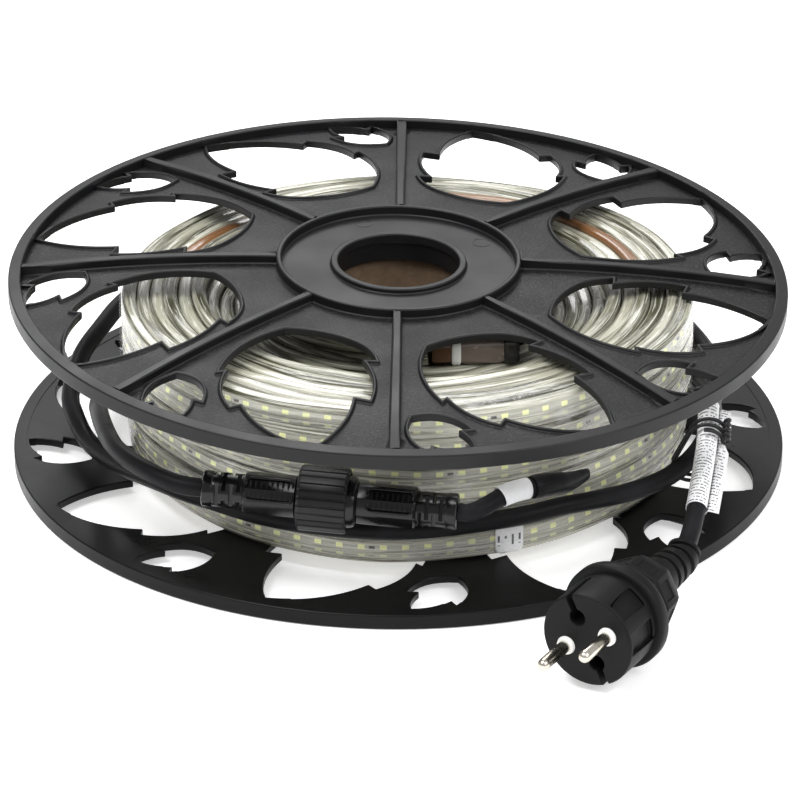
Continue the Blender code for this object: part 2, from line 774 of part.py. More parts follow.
def build_cord():
    """The mains cord, its folded label and the wire tie that holds two strands."""
    points = smooth_route(CORD_ROUTE, CORD_SPACING)
    tube("mains_cord", points, CORD_DIAMETER, material("mains_cord_rubber", (0.02, 0.02, 0.02), 0.5))

    top, bottom = (nearest(points, beside_coil(end)) for end in CORD_LABEL_ENDS)
    held = stations_along(points, Vector((1, 0, 0)))[top:bottom+1]
    tie_at = CORD_LABEL_TIE_STATION

    def outline_at(number):
        return [label_outline(CORD_LABEL_PINCH if number == tie_at else CORD_LABEL_FLAG)]

    place("cord_label", finish_mesh("cord_label", swept(held, outline_at)),
          material("cord_label_paper", (0.85, 0.85, 0.85), 0.6))

    front, ahead, across = held[tie_at]
    away = crossing(points[:top-1], front, ahead)-front
    reach = away.length
    away.normalize()
    side = ahead.cross(away)
    front_r = CORD_LABEL_PINCH+LABEL_PAPER+SEAT+TIE_WIRE/2
    back_r = CORD_DIAMETER/2*TIE_SLANT+2*SEAT+TIE_WIRE
    loop = []
    for step in range(TIE_SIDES):
        angle = 2*math.pi*(step+0.5)/TIE_SIDES
        behind = math.cos(angle) > 0
        radius = back_r if behind else front_r
        centre = front+away*reach if behind else front
        loop.append(centre+away*radius*math.cos(angle)+side*radius*math.sin(angle))
    tube("twist_tie", loop, TIE_WIRE, material("twist_tie_wire", (0.02, 0.02, 0.02), 0.4), cyclic=True)


def nearest(points, spot):
    """The number of the point that lies nearest a spot."""
    return min(range(len(points)), key=lambda number: (points[number]-spot).length)


def crossing(points, spot, ahead):
    """The place nearest a spot where a line of points crosses the plane that faces ahead there."""
    found = []
    for a, b in zip(points, points[1:]):
        before = (a-spot).dot(ahead)
        after = (b-spot).dot(ahead)
        if before*after <= 0 and before != after:
            found.append(a.lerp(b, before/(before-after)))
    return min(found, key=lambda place: (place-spot).length)


def build_plug():
    """The round plug with its bent boot, two pins and their base sleeves."""
    pin_line = (PLUG_PIN_LINE-PLUG_AXIS*PLUG_PIN_LINE.dot(PLUG_AXIS)).normalized()
    up = PLUG_AXIS.cross(pin_line)
    turn = Matrix((pin_line, up, PLUG_AXIS)).transposed().to_4x4()
    base = frame("plug_frame", Matrix.Translation(beside_coil(PLUG_FACE)) @ turn)

    skirt_start = PLUG_FACE_LENGTH
    skirt_end = skirt_start+PLUG_SKIRT_LENGTH
    straight = [
        (0.0, PLUG_FACE_R-PLUG_EDGE),
        (PLUG_EDGE, PLUG_FACE_R),
        (skirt_start, PLUG_FACE_R),
        (skirt_start, PLUG_SKIRT_R-PLUG_EDGE),
        (skirt_start+PLUG_EDGE, PLUG_SKIRT_R),
        (skirt_end-PLUG_EDGE, PLUG_SKIRT_R),
        (skirt_end, PLUG_SKIRT_R-PLUG_EDGE),
        (skirt_end, PLUG_GRIP_R),
        (PLUG_LENGTH-PLUG_TAPER, PLUG_GRIP_R-PLUG_TAPER_DROP),
        (PLUG_LENGTH, PLUG_BOOT_R+PLUG_TAPER_DROP),
    ]
    back = base.matrix_world.inverted()
    shape = bmesh.new()
    rows = []
    for depth, radius in reversed(straight):
        rows.append([shape.verts.new((a, b, -depth)) for a, b in circle(radius, PLUG_SIDES)])
    boot = [back @ beside_coil(p) for p in BOOT_ROUTE]
    axis_end = Vector((0, 0, -PLUG_LENGTH))
    path = [axis_end]+boot
    for number in range(1, len(path)):
        ahead = path[number-1]-path[min(number+1, len(path)-1)]
        across = Vector((1, 0, 0))
        lift = ahead.normalized().cross(across).normalized()
        side = lift.cross(ahead.normalized()).normalized()
        share = (number-1)/(len(path)-2)
        radius = PLUG_BOOT_R+(PLUG_BOOT_END_R-PLUG_BOOT_R)*share
        rows.insert(0, [shape.verts.new(path[number]+side*a+lift*b) for a, b in circle(radius, PLUG_SIDES)])
    bridge(shape, rows, False, True)
    shape.faces.new(list(reversed(rows[0])))
    shape.faces.new(rows[-1])
    place("plug_body", finish_mesh("plug_body", shape),
          material("plug_rubber", (0.03, 0.03, 0.032), 0.55), base)

    radius = PIN_DIAMETER/2
    pin = [(0.0, 0.0), (radius, 0.0), (radius, PIN_LENGTH-radius), (0.75*radius, PIN_LENGTH-0.35*radius),
           (0.0, PIN_LENGTH)]
    sleeve_r = radius+SEAT
    sleeve = [(sleeve_r, 0.0), (sleeve_r+PIN_SLEEVE_WALL, 0.0),
              (sleeve_r+PIN_SLEEVE_WALL, PIN_SLEEVE_LENGTH), (sleeve_r, PIN_SLEEVE_LENGTH)]
    for name, sign in (("left", -1), ("right", 1)):
        foot = Matrix.Translation((sign*PIN_SPACING/2, 0, SEAT))
        place("pin_"+name, finish_mesh("pin_"+name, turned(pin, PIN_SIDES)),
              material("pin_"+name+"_nickel", (0.75, 0.72, 0.66), 0.2, 1.0), base, foot)
        place("pin_sleeve_"+name, finish_mesh("pin_sleeve_"+name, turned(sleeve, PIN_SIDES, ring=True)),
              material("pin_sleeve_"+name+"_plastic", (0.85, 0.85, 0.85), 0.4), base, foot)


def main():
    """Build every piece of the strip light."""
    start_clean()
    build_flanges()
    build_core()
    build_coil()
    build_connector()
    build_lead()
    build_cord()
    build_plug()


main()
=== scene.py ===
"""Looks of an LED strip light on its reel, laid out as a Blender add-on."""

import math
import random

import bmesh
import bpy
from bpy.props import FloatProperty, FloatVectorProperty, IntProperty, PointerProperty
from mathutils import Matrix, Vector, noise
from mathutils.geometry import delaunay_2d_cdt


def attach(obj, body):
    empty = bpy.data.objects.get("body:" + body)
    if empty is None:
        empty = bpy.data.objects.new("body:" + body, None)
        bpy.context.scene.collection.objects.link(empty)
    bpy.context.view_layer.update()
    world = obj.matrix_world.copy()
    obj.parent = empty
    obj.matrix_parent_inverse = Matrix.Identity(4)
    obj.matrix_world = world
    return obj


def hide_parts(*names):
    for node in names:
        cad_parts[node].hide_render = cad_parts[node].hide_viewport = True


bl_info = {
    "name": "LED Strip Light Reel",
    "version": (1, 0, 0),
    "blender": (4, 5, 0),
    "location": "View3D > Sidebar > Strip Light",
    "description": "Dresses the reel, the wound strip, its connector, cord and plug",
    "category": "Object",
}

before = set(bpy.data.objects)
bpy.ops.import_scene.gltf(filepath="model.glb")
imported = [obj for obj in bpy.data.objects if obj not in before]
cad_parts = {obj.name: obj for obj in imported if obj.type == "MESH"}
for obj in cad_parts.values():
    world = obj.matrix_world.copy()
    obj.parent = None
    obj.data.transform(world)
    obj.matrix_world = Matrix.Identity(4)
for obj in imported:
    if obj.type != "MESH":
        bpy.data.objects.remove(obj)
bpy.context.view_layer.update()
MM = 0.001

# Flange moulding
FLANGE_R = 155.0*MM
FLANGE_DEPTH = 5.8*MM
RIM_INNER_R = 150.0*MM
PLATE = 2.0*MM
HUB_RING_R = 48.6*MM
HUB_RING_INNER_R = 46.7*MM
HOLE_R = 24.2*MM
HOLE_LIP_R = 25.2*MM
COLLAR_R = 27.0*MM
COLLAR_DEPTH = 8.0*MM
HOLE_LIP_TOP = 4.0*MM
RIB_HALF_HUB = 1.5*MM
RIB_HALF_RIM = 2.0*MM
SECTORS = 8
LEAF_STEP = 3.0*MM
RIM_SIDES = 192
HUB_SIDES = 96
HUB_MARKS = ((-14.524*MM, 38.019*MM), (33.0*MM, 22.0*MM))
HUB_MARK_R = 3.6*MM
HUB_MARK_WALL = 0.36*MM
UPPER_DOME = 8.3*MM
UPPER_TILT = math.radians(1.16)
UPPER_PITCH = math.radians(1.05)
UPPER_SPIN = math.radians(-0.6)
LOWER_SPIN = math.radians(13.5)

# Leaf openings in millimetres, in a sector that points up: x, y and how far the next side bows out
BIG_LEAF = (
    (-27.9, 146.0, 3.3),
    (-27.9, 109.6, 0.0),
    (-34.7, 109.0, 2.6),
    (-20.2, 83.2, 0.0),
    (-25.3, 81.6, 1.9),
    (-10.0, 70.9, 2.2),
    (17.1, 72.2, 4.5),
    (26.8, 111.1, 0.0),
    (24.0, 109.2, 2.8),
    (12.4, 132.6, 0.0),
    (9.0, 129.4, 4.8),
)
SMALL_LEAF = (
    (28.1, 146.4, 1.4),
    (29.0, 132.1, 0.0),
    (24.3, 132.6, 4.5),
    (41.7, 117.8, 4.1),
    (44.6, 141.0, 0.0),
    (41.9, 137.6, 1.7),
)

# Core tube and coil
CORE_BORE_R = 27.8*MM
CORE_R = 31.3*MM
CORE_LENGTH = 71.4*MM
STACK_Z = 6.1*MM
LEAN_RISE = CORE_R*math.hypot(math.tan(UPPER_TILT), math.tan(UPPER_PITCH))
UPPER_Z = STACK_Z+CORE_LENGTH+0.3*MM+LEAN_RISE-UPPER_DOME
COIL_BORE_R = 58.0*MM
COIL_R = 114.0*MM
COIL_TURNS = 10
COIL_ROWS = 6
COIL_HEIGHT = 64.5*MM
COIL_INNER_DROP = 7.2*MM
COIL_INNER_TURNS = 3
COIL_FOOT_INSET = 3.5*MM
COIL_SHIFT_X = 3.5*MM
COIL_PITCH = (COIL_R-COIL_BORE_R)/COIL_TURNS
ROW_HEIGHT = COIL_HEIGHT/COIL_ROWS
COPPER_TURN = 6
COIL_AT = Matrix.Translation((COIL_SHIFT_X, 0, STACK_Z))
STREAKS_PER_METRE = 11.0
LIGHTS_PER_CHIP = 6
STRIP_GLINT = (0.74, 0.74, 0.66)
STRIP_COPPER = (0.20, 0.085, 0.028)
STRIP_RIBBON = (0.56, 0.55, 0.47)
STRIP_CHIP = (0.05, 0.05, 0.045)

# Free inner strands: azimuth in degrees, distance from the axis and height over the inner turns
INNER_STRANDS = (
    (
        (-205, 61.0, -6.0),
        (-180, 58.5, -4.0),
        (-160, 54.5, -2.0),
        (-140, 51.0, -0.5),
        (-120, 50.5, 1.0),
        (-105, 52.5, 2.8),
        (-92, 55.5, 4.6),
        (-82, 57.0, 5.6),
    ),
    (
        (-215, 61.0, -7.0),
        (-185, 59.0, -6.0),
        (-160, 57.5, -5.5),
        (-135, 55.0, -5.3),
        (-110, 55.5, -5.2),
        (-85, 58.0, -5.4),
        (-60, 61.0, -6.0),
    ),
)

# Film: heights of its rows over the coil's foot
FILM_SIDES = 220
FILM_HEIGHTS = (1.0, 9.0, 18.0, 27.0, 36.0, 45.0, 54.0, 62.0, 66.5, 67.8)
FILM_SHOULDER = 64.0

# Strip end and strip label
STRIP_END_AT = Vector((30.0, -55.5, 0))*MM
STRIP_END_TURN = math.radians(4)
LABEL_AZIMUTH = math.radians(-69.5)
LABEL_WIDTH = 11.5*MM
LABEL_HEIGHT = 11.0
LABEL_CORNER = 2.2

# Connector
CONNECTOR_START = Vector((-74.0, -121.5, 43.1))*MM
CONNECTOR_END = Vector((22.5, -134.0, 39.2))*MM
GRIP_R = 8.0
GRIP_FACETS = 8
BOOT_R = 6.7*MM
RIDGE_R = 7.35*MM
RIDGES = 8
NUT_START = 36.7*MM
NUT_RIBS = 26
NUT_RIB_DEPTH = 0.5*MM

# Routes in millimetres
CORD_ROUTE = (
    (-74.3, -121.46, 43.11),
    (-79.0, -120.8, 43.3),
    (-86.0, -118.2, 43.9),
    (-94.6, -111.0, 44.6),
    (-104.5, -97.0, 44.0),
    (-111.0, -80.0, 42.0),
    (-117.5, -44.0, 36.0),
    (-119.5, -6.0, 24.0),
    (-113.5, 35.0, 14.5),
    (-93.0, 75.0, 10.4),
    (-58.0, 107.0, 10.0),
    (-12.0, 122.0, 10.0),
    (35.0, 118.0, 10.0),
    (78.0, 96.0, 10.4),
    (108.0, 62.0, 13.5),
    (123.0, 20.0, 19.5),
    (125.5, -20.0, 26.5),
    (121.5, -50.0, 30.0),
    (114.5, -67.5, 28.5),
    (104.5, -76.5, 24.5),
    (92.0, -84.5, 23.0),
    (77.0, -96.0, 24.9),
    (62.0, -105.5, 26.7),
    (42.0, -114.0, 26.1),
    (0.0, -120.3, 24.2),
    (-42.0, -112.0, 23.8),
    (-76.8, -92.0, 24.2),
    (-92.5, -78.5, 23.6),
    (-107.4, -58.0, 19.8),
    (-119.0, -38.0, 17.0),
    (-125.0, -25.0, 17.0),
    (-129.5, -13.0, 20.4),
    (-132.0, 0.0, 23.1),
    (-129.2, 26.0, 27.6),
    (-122.5, 45.0, 31.0),
    (-112.4, 70.0, 33.3),
    (-95.0, 92.0, 34.0),
    (-62.0, 113.0, 34.5),
    (-15.0, 125.0, 35.0),
    (32.0, 121.5, 34.5),
    (72.0, 103.0, 34.0),
    (105.0, 68.0, 34.0),
    (123.0, 22.0, 35.0),
    (126.5, -18.0, 39.0),
    (125.0, -40.0, 43.5),
    (121.2, -61.0, 46.5),
    (119.1, -83.0, 40.6),
    (113.9, -116.0, 32.6),
    (112.3, -123.0, 29.8),
    (110.6, -130.0, 27.0),
    (108.4, -135.8, 24.6),
)
LEAD_ROUTE = (
    (22.8, -134.04, 39.19),
    (26.5, -134.52, 39.05),
    (32.0, -132.0, 40.0),
    (40.0, -126.5, 42.3),
    (46.8, -122.4, 42.7),
    (50.5, -120.0, 42.3),
)
SHRINK_ROUTE = (
    (50.75, -119.84, 42.27),
    (54.4, -117.5, 41.9),
    (60.5, -113.0, 40.6),
    (65.5, -108.0, 38.8),
    (72.6, -99.6, 37.6),
)
BOOT_ROUTE = (
    (98.9, -152.1, 21.9),
    (102.9, -146.0, 22.0),
    (106.35, -141.0, 22.55),
    (108.2, -136.3, 24.42),
)

# Cord label and wire tie
CORD_LABEL_ENDS = ((121.2, -61.0, 46.5), (113.9, -116.0, 32.6))
CORD_LABEL_FLAG = 8.6*MM
CORD_LABEL_PINCH = 3.6*MM
TIE_PLACE = 0.27
TIE_FRONT_R = 6.6*MM
TIE_BACK_R = 6.7*MM
TIE_TURNS = 2.6
TIE_SPREAD = 9.0*MM
TIE_WIRE = 1.5*MM
TIE_END_LENGTH = 13.0*MM
TIE_END_WIRE = 1.4*MM

# Plug
PLUG_FACE = Vector((69.1, -201.9, 21.1))*MM
PLUG_AXIS = Vector((-0.513, -0.858, -0.014)).normalized()
PLUG_PIN_LINE = Vector((0.769, -0.466, 0.437))
PIN_SPACING = 19.0*MM
KEYHOLE_OUT = 9.4*MM
PLUG_FACETS = 8
GRIP_RECESS_Z = -37.8*MM

# Camera: place, downward angle, roll, lens
CAMERA_AT = Vector((0.0007, -1.8099, 0.9063))
CAMERA_DOWN = math.radians(26.075)
CAMERA_ROLL = math.radians(-0.0674)
CAMERA_LENS = 225.05

# Lamps: name, place, size and power
LAMPS = (
    ("key_light", (-0.7, -0.5, 2.0), 1.2, 38.0),
    ("fill_light", (1.3, -0.9, 1.5), 1.2, 22.0),
    ("back_light", (-0.2, 1.6, 1.5), 1.0, 18.0),
)
LAMPS_AIM = Vector((0, 0, 0.04))
FLOOR_Z = -0.3*MM


class ReelLooks(bpy.types.PropertyGroup):
    """Sizes and colours of the flanges and the tube."""
    plastic: FloatVectorProperty(name="Plastic", description="Colour of the moulded flanges",
                                 subtype="COLOR", default=(0.0092, 0.0092, 0.0100), min=0, max=1)
    cardboard: FloatVectorProperty(name="Cardboard", description="Colour of the tube",
                                   subtype="COLOR", default=(0.13, 0.085, 0.05), min=0, max=1)
    lip_width: FloatProperty(name="Lip width", description="Width of the raised lip round each leaf",
                             subtype="DISTANCE", default=0.0013, min=0.0005, max=0.003)
    lip_height: FloatProperty(name="Lip height", description="Height of the lip over the plate",
                              subtype="DISTANCE", default=0.0012, min=0, max=0.003)
    edge: FloatProperty(name="Edge", description="Rounding of the moulding's edges",
                        subtype="DISTANCE", default=0.0005, min=0, max=0.001)


class StripLooks(bpy.types.PropertyGroup):
    """Sizes and colours of the wound strip."""
    clear: FloatVectorProperty(name="Clear plastic", description="Colour of the strip's sleeve in light",
                               subtype="COLOR", default=(0.42, 0.41, 0.325), min=0, max=1)
    shade: FloatVectorProperty(name="Shade", description="Colour of the sleeve in its own shade",
                               subtype="COLOR", default=(0.065, 0.062, 0.036), min=0, max=1)
    light: FloatVectorProperty(name="Lights", description="Colour of the unlit lights",
                               subtype="COLOR", default=(0.82, 0.84, 0.40), min=0, max=1)
    light_pitch: FloatProperty(name="Light pitch", description="Distance between two lights",
                               subtype="DISTANCE", default=0.00833, min=0.004, max=0.05)
    wander: FloatProperty(name="Wander", description="How far the turns stray from an even winding",
                          subtype="DISTANCE", default=0.0007, min=0, max=0.003)
    seed: IntProperty(name="Seed", description="Number that picks how the turns stray", default=7, min=0)


class CordLooks(bpy.types.PropertyGroup):
    """Sizes and colours of the cords, the connector and the plug."""
    cord_diameter: FloatProperty(name="Cord", description="Diameter of the mains cord",
                                 subtype="DISTANCE", default=0.0074, min=0.003, max=0.012)
    lead_diameter: FloatProperty(name="Lead", description="Diameter of the strip's lead",
                                 subtype="DISTANCE", default=0.007, min=0.003, max=0.012)
    rubber: FloatVectorProperty(name="Rubber", description="Colour of the cords",
                                subtype="COLOR", default=(0.009, 0.009, 0.010), min=0, max=1)
    plug: FloatVectorProperty(name="Plug", description="Colour of the moulded plug",
                              subtype="COLOR", default=(0.0055, 0.0055, 0.0060), min=0, max=1)
    paper: FloatVectorProperty(name="Paper", description="Colour of the labels",
                               subtype="COLOR", default=(0.82, 0.82, 0.83), min=0, max=1)


class StageLooks(bpy.types.PropertyGroup):
    """Floor and light."""
    floor: FloatVectorProperty(name="Floor", description="Colour of the floor",
                               subtype="COLOR", default=(0.93, 0.93, 0.93), min=0, max=1)
    glow: FloatProperty(name="Glow", description="Light that comes through the floor from below",
                        default=0.45, min=0, max=2)
    sky: FloatProperty(name="Surround", description="Strength of the light from all round",
                       default=0.55, min=0, max=10)


# Material helpers

def start_material(name):
    """An empty material with its tree, its shader and the object's coordinates."""
    made = bpy.data.materials.new(name)
    made.use_nodes = True
    tree = made.node_tree
    shader = tree.nodes["Principled BSDF"]
    coords = tree.nodes.new("ShaderNodeTexCoord")
    return made, tree, shader, coords


def add_noise(tree, vector, scale, detail=2.0, roughness=0.5, stretch=None):
    """A noise texture's value, with the coordinates stretched if asked."""
    if stretch is not None:
        mapping = tree.nodes.new("ShaderNodeMapping")
        mapping.inputs["Scale"].default_value = stretch
        tree.links.new(vector, mapping.inputs["Vector"])
        vector = mapping.outputs["Vector"]
    texture = tree.nodes.new("ShaderNodeTexNoise")
    texture.inputs["Scale"].default_value = scale
    texture.inputs["Detail"].default_value = detail
    texture.inputs["Roughness"].default_value = roughness
    tree.links.new(vector, texture.inputs["Vector"])
    return texture.outputs["Fac"]


def add_math(tree, operation, a, b=None):
    """A math node fed by sockets or plain numbers."""
    made = tree.nodes.new("ShaderNodeMath")
    made.operation = operation
    for socket, value in zip(made.inputs, (a, b)):
        if value is None:
            continue
        if isinstance(value, (int, float)):
            socket.default_value = value
        else:
            tree.links.new(value, socket)
    return made.outputs[0]


def add_range(tree, value, low, high, to_low=0.0, to_high=1.0):
    """The value remapped smoothly from one range to another, held at its ends."""
    made = tree.nodes.new("ShaderNodeMapRange")
    made.interpolation_type = "SMOOTHSTEP"
    made.inputs["From Min"].default_value = low
    made.inputs["From Max"].default_value = high
    made.inputs["To Min"].default_value = to_low
    made.inputs["To Max"].default_value = to_high
    tree.links.new(value, made.inputs["Value"])
    return made.outputs["Result"]


def add_window(tree, value, low, high, edge):
    """One where a value lies between low and high, with soft edges inside them."""
    return add_math(tree, "MULTIPLY", add_range(tree, value, low, low+edge),
                    add_range(tree, value, high, high-edge))


def add_mix(tree, share, first, second):
    """Two colours mixed by a share; each is a socket or a plain colour."""
    made = tree.nodes.new("ShaderNodeMix")
    made.data_type = "RGBA"
    tree.links.new(share, made.inputs["Factor"])
    for socket, value in ((made.inputs["A"], first), (made.inputs["B"], second)):
        if isinstance(value, (tuple, list)):
            socket.default_value = (*value[:3], 1.0)
        else:
            tree.links.new(value, socket)
    return made.outputs["Result"]


def add_bump(tree, shader, height, distance, strength=1.0):
    """A bump from a height, laid on the shader."""
    made = tree.nodes.new("ShaderNodeBump")
    made.inputs["Distance"].default_value = distance
    made.inputs["Strength"].default_value = strength
    tree.links.new(height, made.inputs["Height"])
    tree.links.new(made.outputs["Normal"], shader.inputs["Normal"])


def scaled(color, share):
    """A colour made lighter or darker."""
    return tuple(min(1.0, part*share) for part in color[:3])


def moulded_plastic(name, color, rough, grain=2600.0, depth=0.00003, scuff=0.35, gloss=0.24, grain_glints=0.0):
    """Moulded plastic: even grain, cloudy sheen, a few faint scuffs and, if asked, painted glints on the
    grain.
    """
    made, tree, shader, coords = start_material(name)
    here = coords.outputs["Object"]
    cloud = add_noise(tree, here, 38.0, 4.0)
    tint = add_range(tree, cloud, 0.3, 0.7)
    base = add_mix(tree, tint, scaled(color, 0.86), scaled(color, 1.16))
    grain_and_glints = add_noise(tree, here, grain, 3.0, 0.6)
    # lighter specks on the grain's peaks: painted glints where light catches the grain
    if grain_glints:
        base = add_mix(tree, add_range(tree, grain_and_glints, 0.5, 0.68, 0.0, grain_glints), base, scaled(color, 4.5))
    lines = add_noise(tree, here, 60.0, 3.0, 0.6, stretch=(1.0, 9.0, 2.0))
    mark = add_range(tree, lines, 0.64, 0.74, 0.0, scuff)
    tree.links.new(add_mix(tree, mark, base, scaled(color, 2.1)), shader.inputs["Base Color"])
    sheen = add_range(tree, cloud, 0.25, 0.75, rough-0.07, rough+0.07)
    tree.links.new(add_math(tree, "ADD", sheen, add_math(tree, "MULTIPLY", mark, 0.2)),
                   shader.inputs["Roughness"])
    shader.inputs["Specular IOR Level"].default_value = gloss
    add_bump(tree, shader, grain_and_glints, depth)
    return made


def soft_rubber(name, color, rough):
    """Cord rubber: dull sheen, dust in streaks and very fine grain."""
    made, tree, shader, coords = start_material(name)
    here = coords.outputs["Object"]
    dust = add_range(tree, add_noise(tree, here, 55.0, 5.0, 0.6), 0.45, 0.75)
    tree.links.new(add_mix(tree, dust, color, scaled(color, 1.7)), shader.inputs["Base Color"])
    tree.links.new(add_range(tree, dust, 0.0, 1.0, rough-0.05, rough+0.1), shader.inputs["Roughness"])
    shader.inputs["Specular IOR Level"].default_value = 0.08
    add_bump(tree, shader, add_noise(tree, here, 3500.0, 2.0), 0.00002)
    return made


def label_paper(name, color, rows=0.0, dashes=0.0, margin=0.1):
    """Label paper with faint fibres, and rows of plain dashes if asked."""
    made, tree, shader, coords = start_material(name)
    fibre = add_noise(tree, coords.outputs["Object"], 900.0, 4.0)
    base = add_mix(tree, add_range(tree, fibre, 0.35, 0.65), scaled(color, 0.95), color)
    if rows:
        parts = tree.nodes.new("ShaderNodeSeparateXYZ")
        tree.links.new(coords.outputs["UV"], parts.inputs["Vector"])
        along, across = parts.outputs["X"], parts.outputs["Y"]
        row = add_math(tree, "MULTIPLY", along, rows)
        line = add_math(tree, "FRACT", row)
        ink = add_window(tree, line, 0.28, 0.66, 0.08)
        spot = tree.nodes.new("ShaderNodeCombineXYZ")
        tree.links.new(add_math(tree, "FLOOR", row), spot.inputs["X"])
        tree.links.new(add_math(tree, "FLOOR", add_math(tree, "MULTIPLY", across, dashes)), spot.inputs["Y"])
        random_cell = tree.nodes.new("ShaderNodeTexWhiteNoise")
        tree.links.new(spot.outputs["Vector"], random_cell.inputs["Vector"])
        cell = add_math(tree, "GREATER_THAN", random_cell.outputs["Value"], 0.34)
        inside = add_math(tree, "MULTIPLY", add_math(tree, "GREATER_THAN", across, margin),
                          add_math(tree, "LESS_THAN", across, 1.0-margin))
        ink = add_math(tree, "MULTIPLY", add_math(tree, "MULTIPLY", ink, cell), inside)
        base = add_mix(tree, ink, base, (0.05, 0.05, 0.055))
    tree.links.new(base, shader.inputs["Base Color"])
    shader.inputs["Roughness"].default_value = 0.55
    add_bump(tree, shader, fibre, 0.00004)
    return made


def clear_strip(name, looks, lines, seed, copper=0.0, bands=13.0):
    """Glossy clear strip: light and shade in long streaks, with rows of unlit lights inside.

    Each of lines gives a row of lights, or a painted reflection of one: its place around the section, its
    half width and strength.
    """
    made, tree, shader, coords = start_material(name)
    shade = tuple(looks.shade)
    parts = tree.nodes.new("ShaderNodeSeparateXYZ")
    tree.links.new(coords.outputs["UV"], parts.inputs["Vector"])
    along, around = parts.outputs["X"], parts.outputs["Y"]
    spot = tree.nodes.new("ShaderNodeCombineXYZ")
    tree.links.new(add_math(tree, "MULTIPLY", along, STREAKS_PER_METRE), spot.inputs["X"])
    tree.links.new(add_math(tree, "MULTIPLY", around, bands), spot.inputs["Y"])
    spot.inputs["Z"].default_value = seed
    streak = add_noise(tree, spot.outputs["Vector"], 1.0, 5.0, 0.62)
    base = add_mix(tree, add_range(tree, streak, 0.40, 0.58), shade, tuple(looks.clear))
    fine = add_noise(tree, spot.outputs["Vector"], 3.7, 3.0, 0.6)
    base = add_mix(tree, add_range(tree, fine, 0.54, 0.64, 0.0, 0.6), base, STRIP_GLINT)
    base = add_mix(tree, add_range(tree, fine, 0.44, 0.34, 0.0, 0.55), base, shade)
    if copper:
        near = add_math(tree, "ABSOLUTE", add_math(tree, "SUBTRACT", around, copper))
        place = tree.nodes.new("ShaderNodeSeparateXYZ")
        tree.links.new(coords.outputs["Object"], place.inputs["Vector"])
        band = add_math(tree, "MULTIPLY", add_range(tree, near, 0.11, 0.07, 0.0, 0.9),
                        add_range(tree, place.outputs["Y"], 0.008, 0.03))
        base = add_mix(tree, band, base, STRIP_COPPER)
    cell = add_math(tree, "FRACT", add_math(tree, "DIVIDE", along, looks.light_pitch))
    step = add_math(tree, "FRACT", add_math(tree, "DIVIDE", along, looks.light_pitch*LIGHTS_PER_CHIP))
    for line, wide, strength in lines:
        near = add_math(tree, "ABSOLUTE", add_math(tree, "SUBTRACT", around, line))
        ribbon = add_range(tree, near, wide*1.7, wide*1.3, 0.0, 0.6*strength)
        base = add_mix(tree, ribbon, base, STRIP_RIBBON)
        lit = add_math(tree, "MULTIPLY", add_window(tree, cell, 0.08, 0.43, 0.03),
                       add_range(tree, near, wide, wide*0.8))
        base = add_mix(tree, add_math(tree, "MULTIPLY", lit, strength), base, tuple(looks.light))
        chip = add_math(tree, "MULTIPLY", add_window(tree, step, 0.095, 0.15, 0.01),
                        add_range(tree, near, wide*0.6, wide*0.45, 0.0, strength))
        base = add_mix(tree, chip, base, STRIP_CHIP)
    tree.links.new(base, shader.inputs["Base Color"])
    tree.links.new(add_range(tree, fine, 0.3, 0.7, 0.14, 0.30), shader.inputs["Roughness"])
    shader.inputs["IOR"].default_value = 1.5
    shader.inputs["Coat Weight"].default_value = 0.4
    shader.inputs["Coat Roughness"].default_value = 0.06
    add_bump(tree, shader, streak, 0.0009, 0.6)
    return made


# Mesh helpers

def finish_mesh(name, shape, sharp=35.0):
    """Turn a bmesh into a mesh shaded smooth up to its sharp edges."""
    bmesh.ops.recalc_face_normals(shape, faces=list(shape.faces))
    mesh = bpy.data.meshes.new(name)
    shape.to_mesh(mesh)
    shape.free()
    mesh.shade_smooth()
    mesh.set_sharp_from_angle(angle=math.radians(sharp))
    return mesh


def dress(name, data, looks, body="reel", node=None, matrix=None):
    """Link a piece with its materials, on its body and in its CAD node's stead."""
    if matrix is not None:
        data.transform(matrix)
    piece = bpy.data.objects.new(name, data)
    for look in looks if isinstance(looks, (list, tuple)) else [looks]:
        data.materials.append(look)
    bpy.context.scene.collection.objects.link(piece)
    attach(piece, body)
    if node:
        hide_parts(node)
    return piece


def add_piece(name, shape, looks, sharp=35.0, **where):
    """Finish a shape and link it as a piece."""
    return dress(name, finish_mesh(name, shape, sharp), looks, **where)


def round_edges(piece, width, weighed=False):
    """A bevel on the piece's sharp edges, or on the edges that carry a weight."""
    bevel = piece.modifiers.new("edges", "BEVEL")
    bevel.width = width
    bevel.segments = 2
    bevel.limit_method = "WEIGHT" if weighed else "ANGLE"
    bevel.angle_limit = math.radians(35)
    bevel.use_clamp_overlap = False
    evened = piece.modifiers.new("shading", "WEIGHTED_NORMAL")
    evened.keep_sharp = True


def thicken(piece, thickness, offset=1.0):
    """Give a sheet its thickness."""
    sheet = piece.modifiers.new("thickness", "SOLIDIFY")
    sheet.thickness = thickness
    sheet.offset = offset


def millimetres(*points):
    """A profile given in millimetres, in metres."""
    return [tuple(part*MM for part in point) for point in points]


def route(points):
    """Places given in millimetres, as vectors in metres."""
    return [Vector(point)*MM for point in points]


def bridge(shape, rows, closed_rows=False, closed_loop=True):
    """Faces between rows of vertices; a row of one vertex is a tip."""
    pairs = list(zip(rows, rows[1:]))
    if closed_rows:
        pairs.append((rows[-1], rows[0]))
    for low, high in pairs:
        size = max(len(low), len(high))
        for i in range(size if closed_loop else size-1):
            j = (i+1) % size
            corners = [low[i % len(low)], low[j % len(low)], high[j % len(high)], high[i % len(high)]]
            kept = [c for n, c in enumerate(corners) if c not in corners[:n]]
            shape.faces.new(kept)


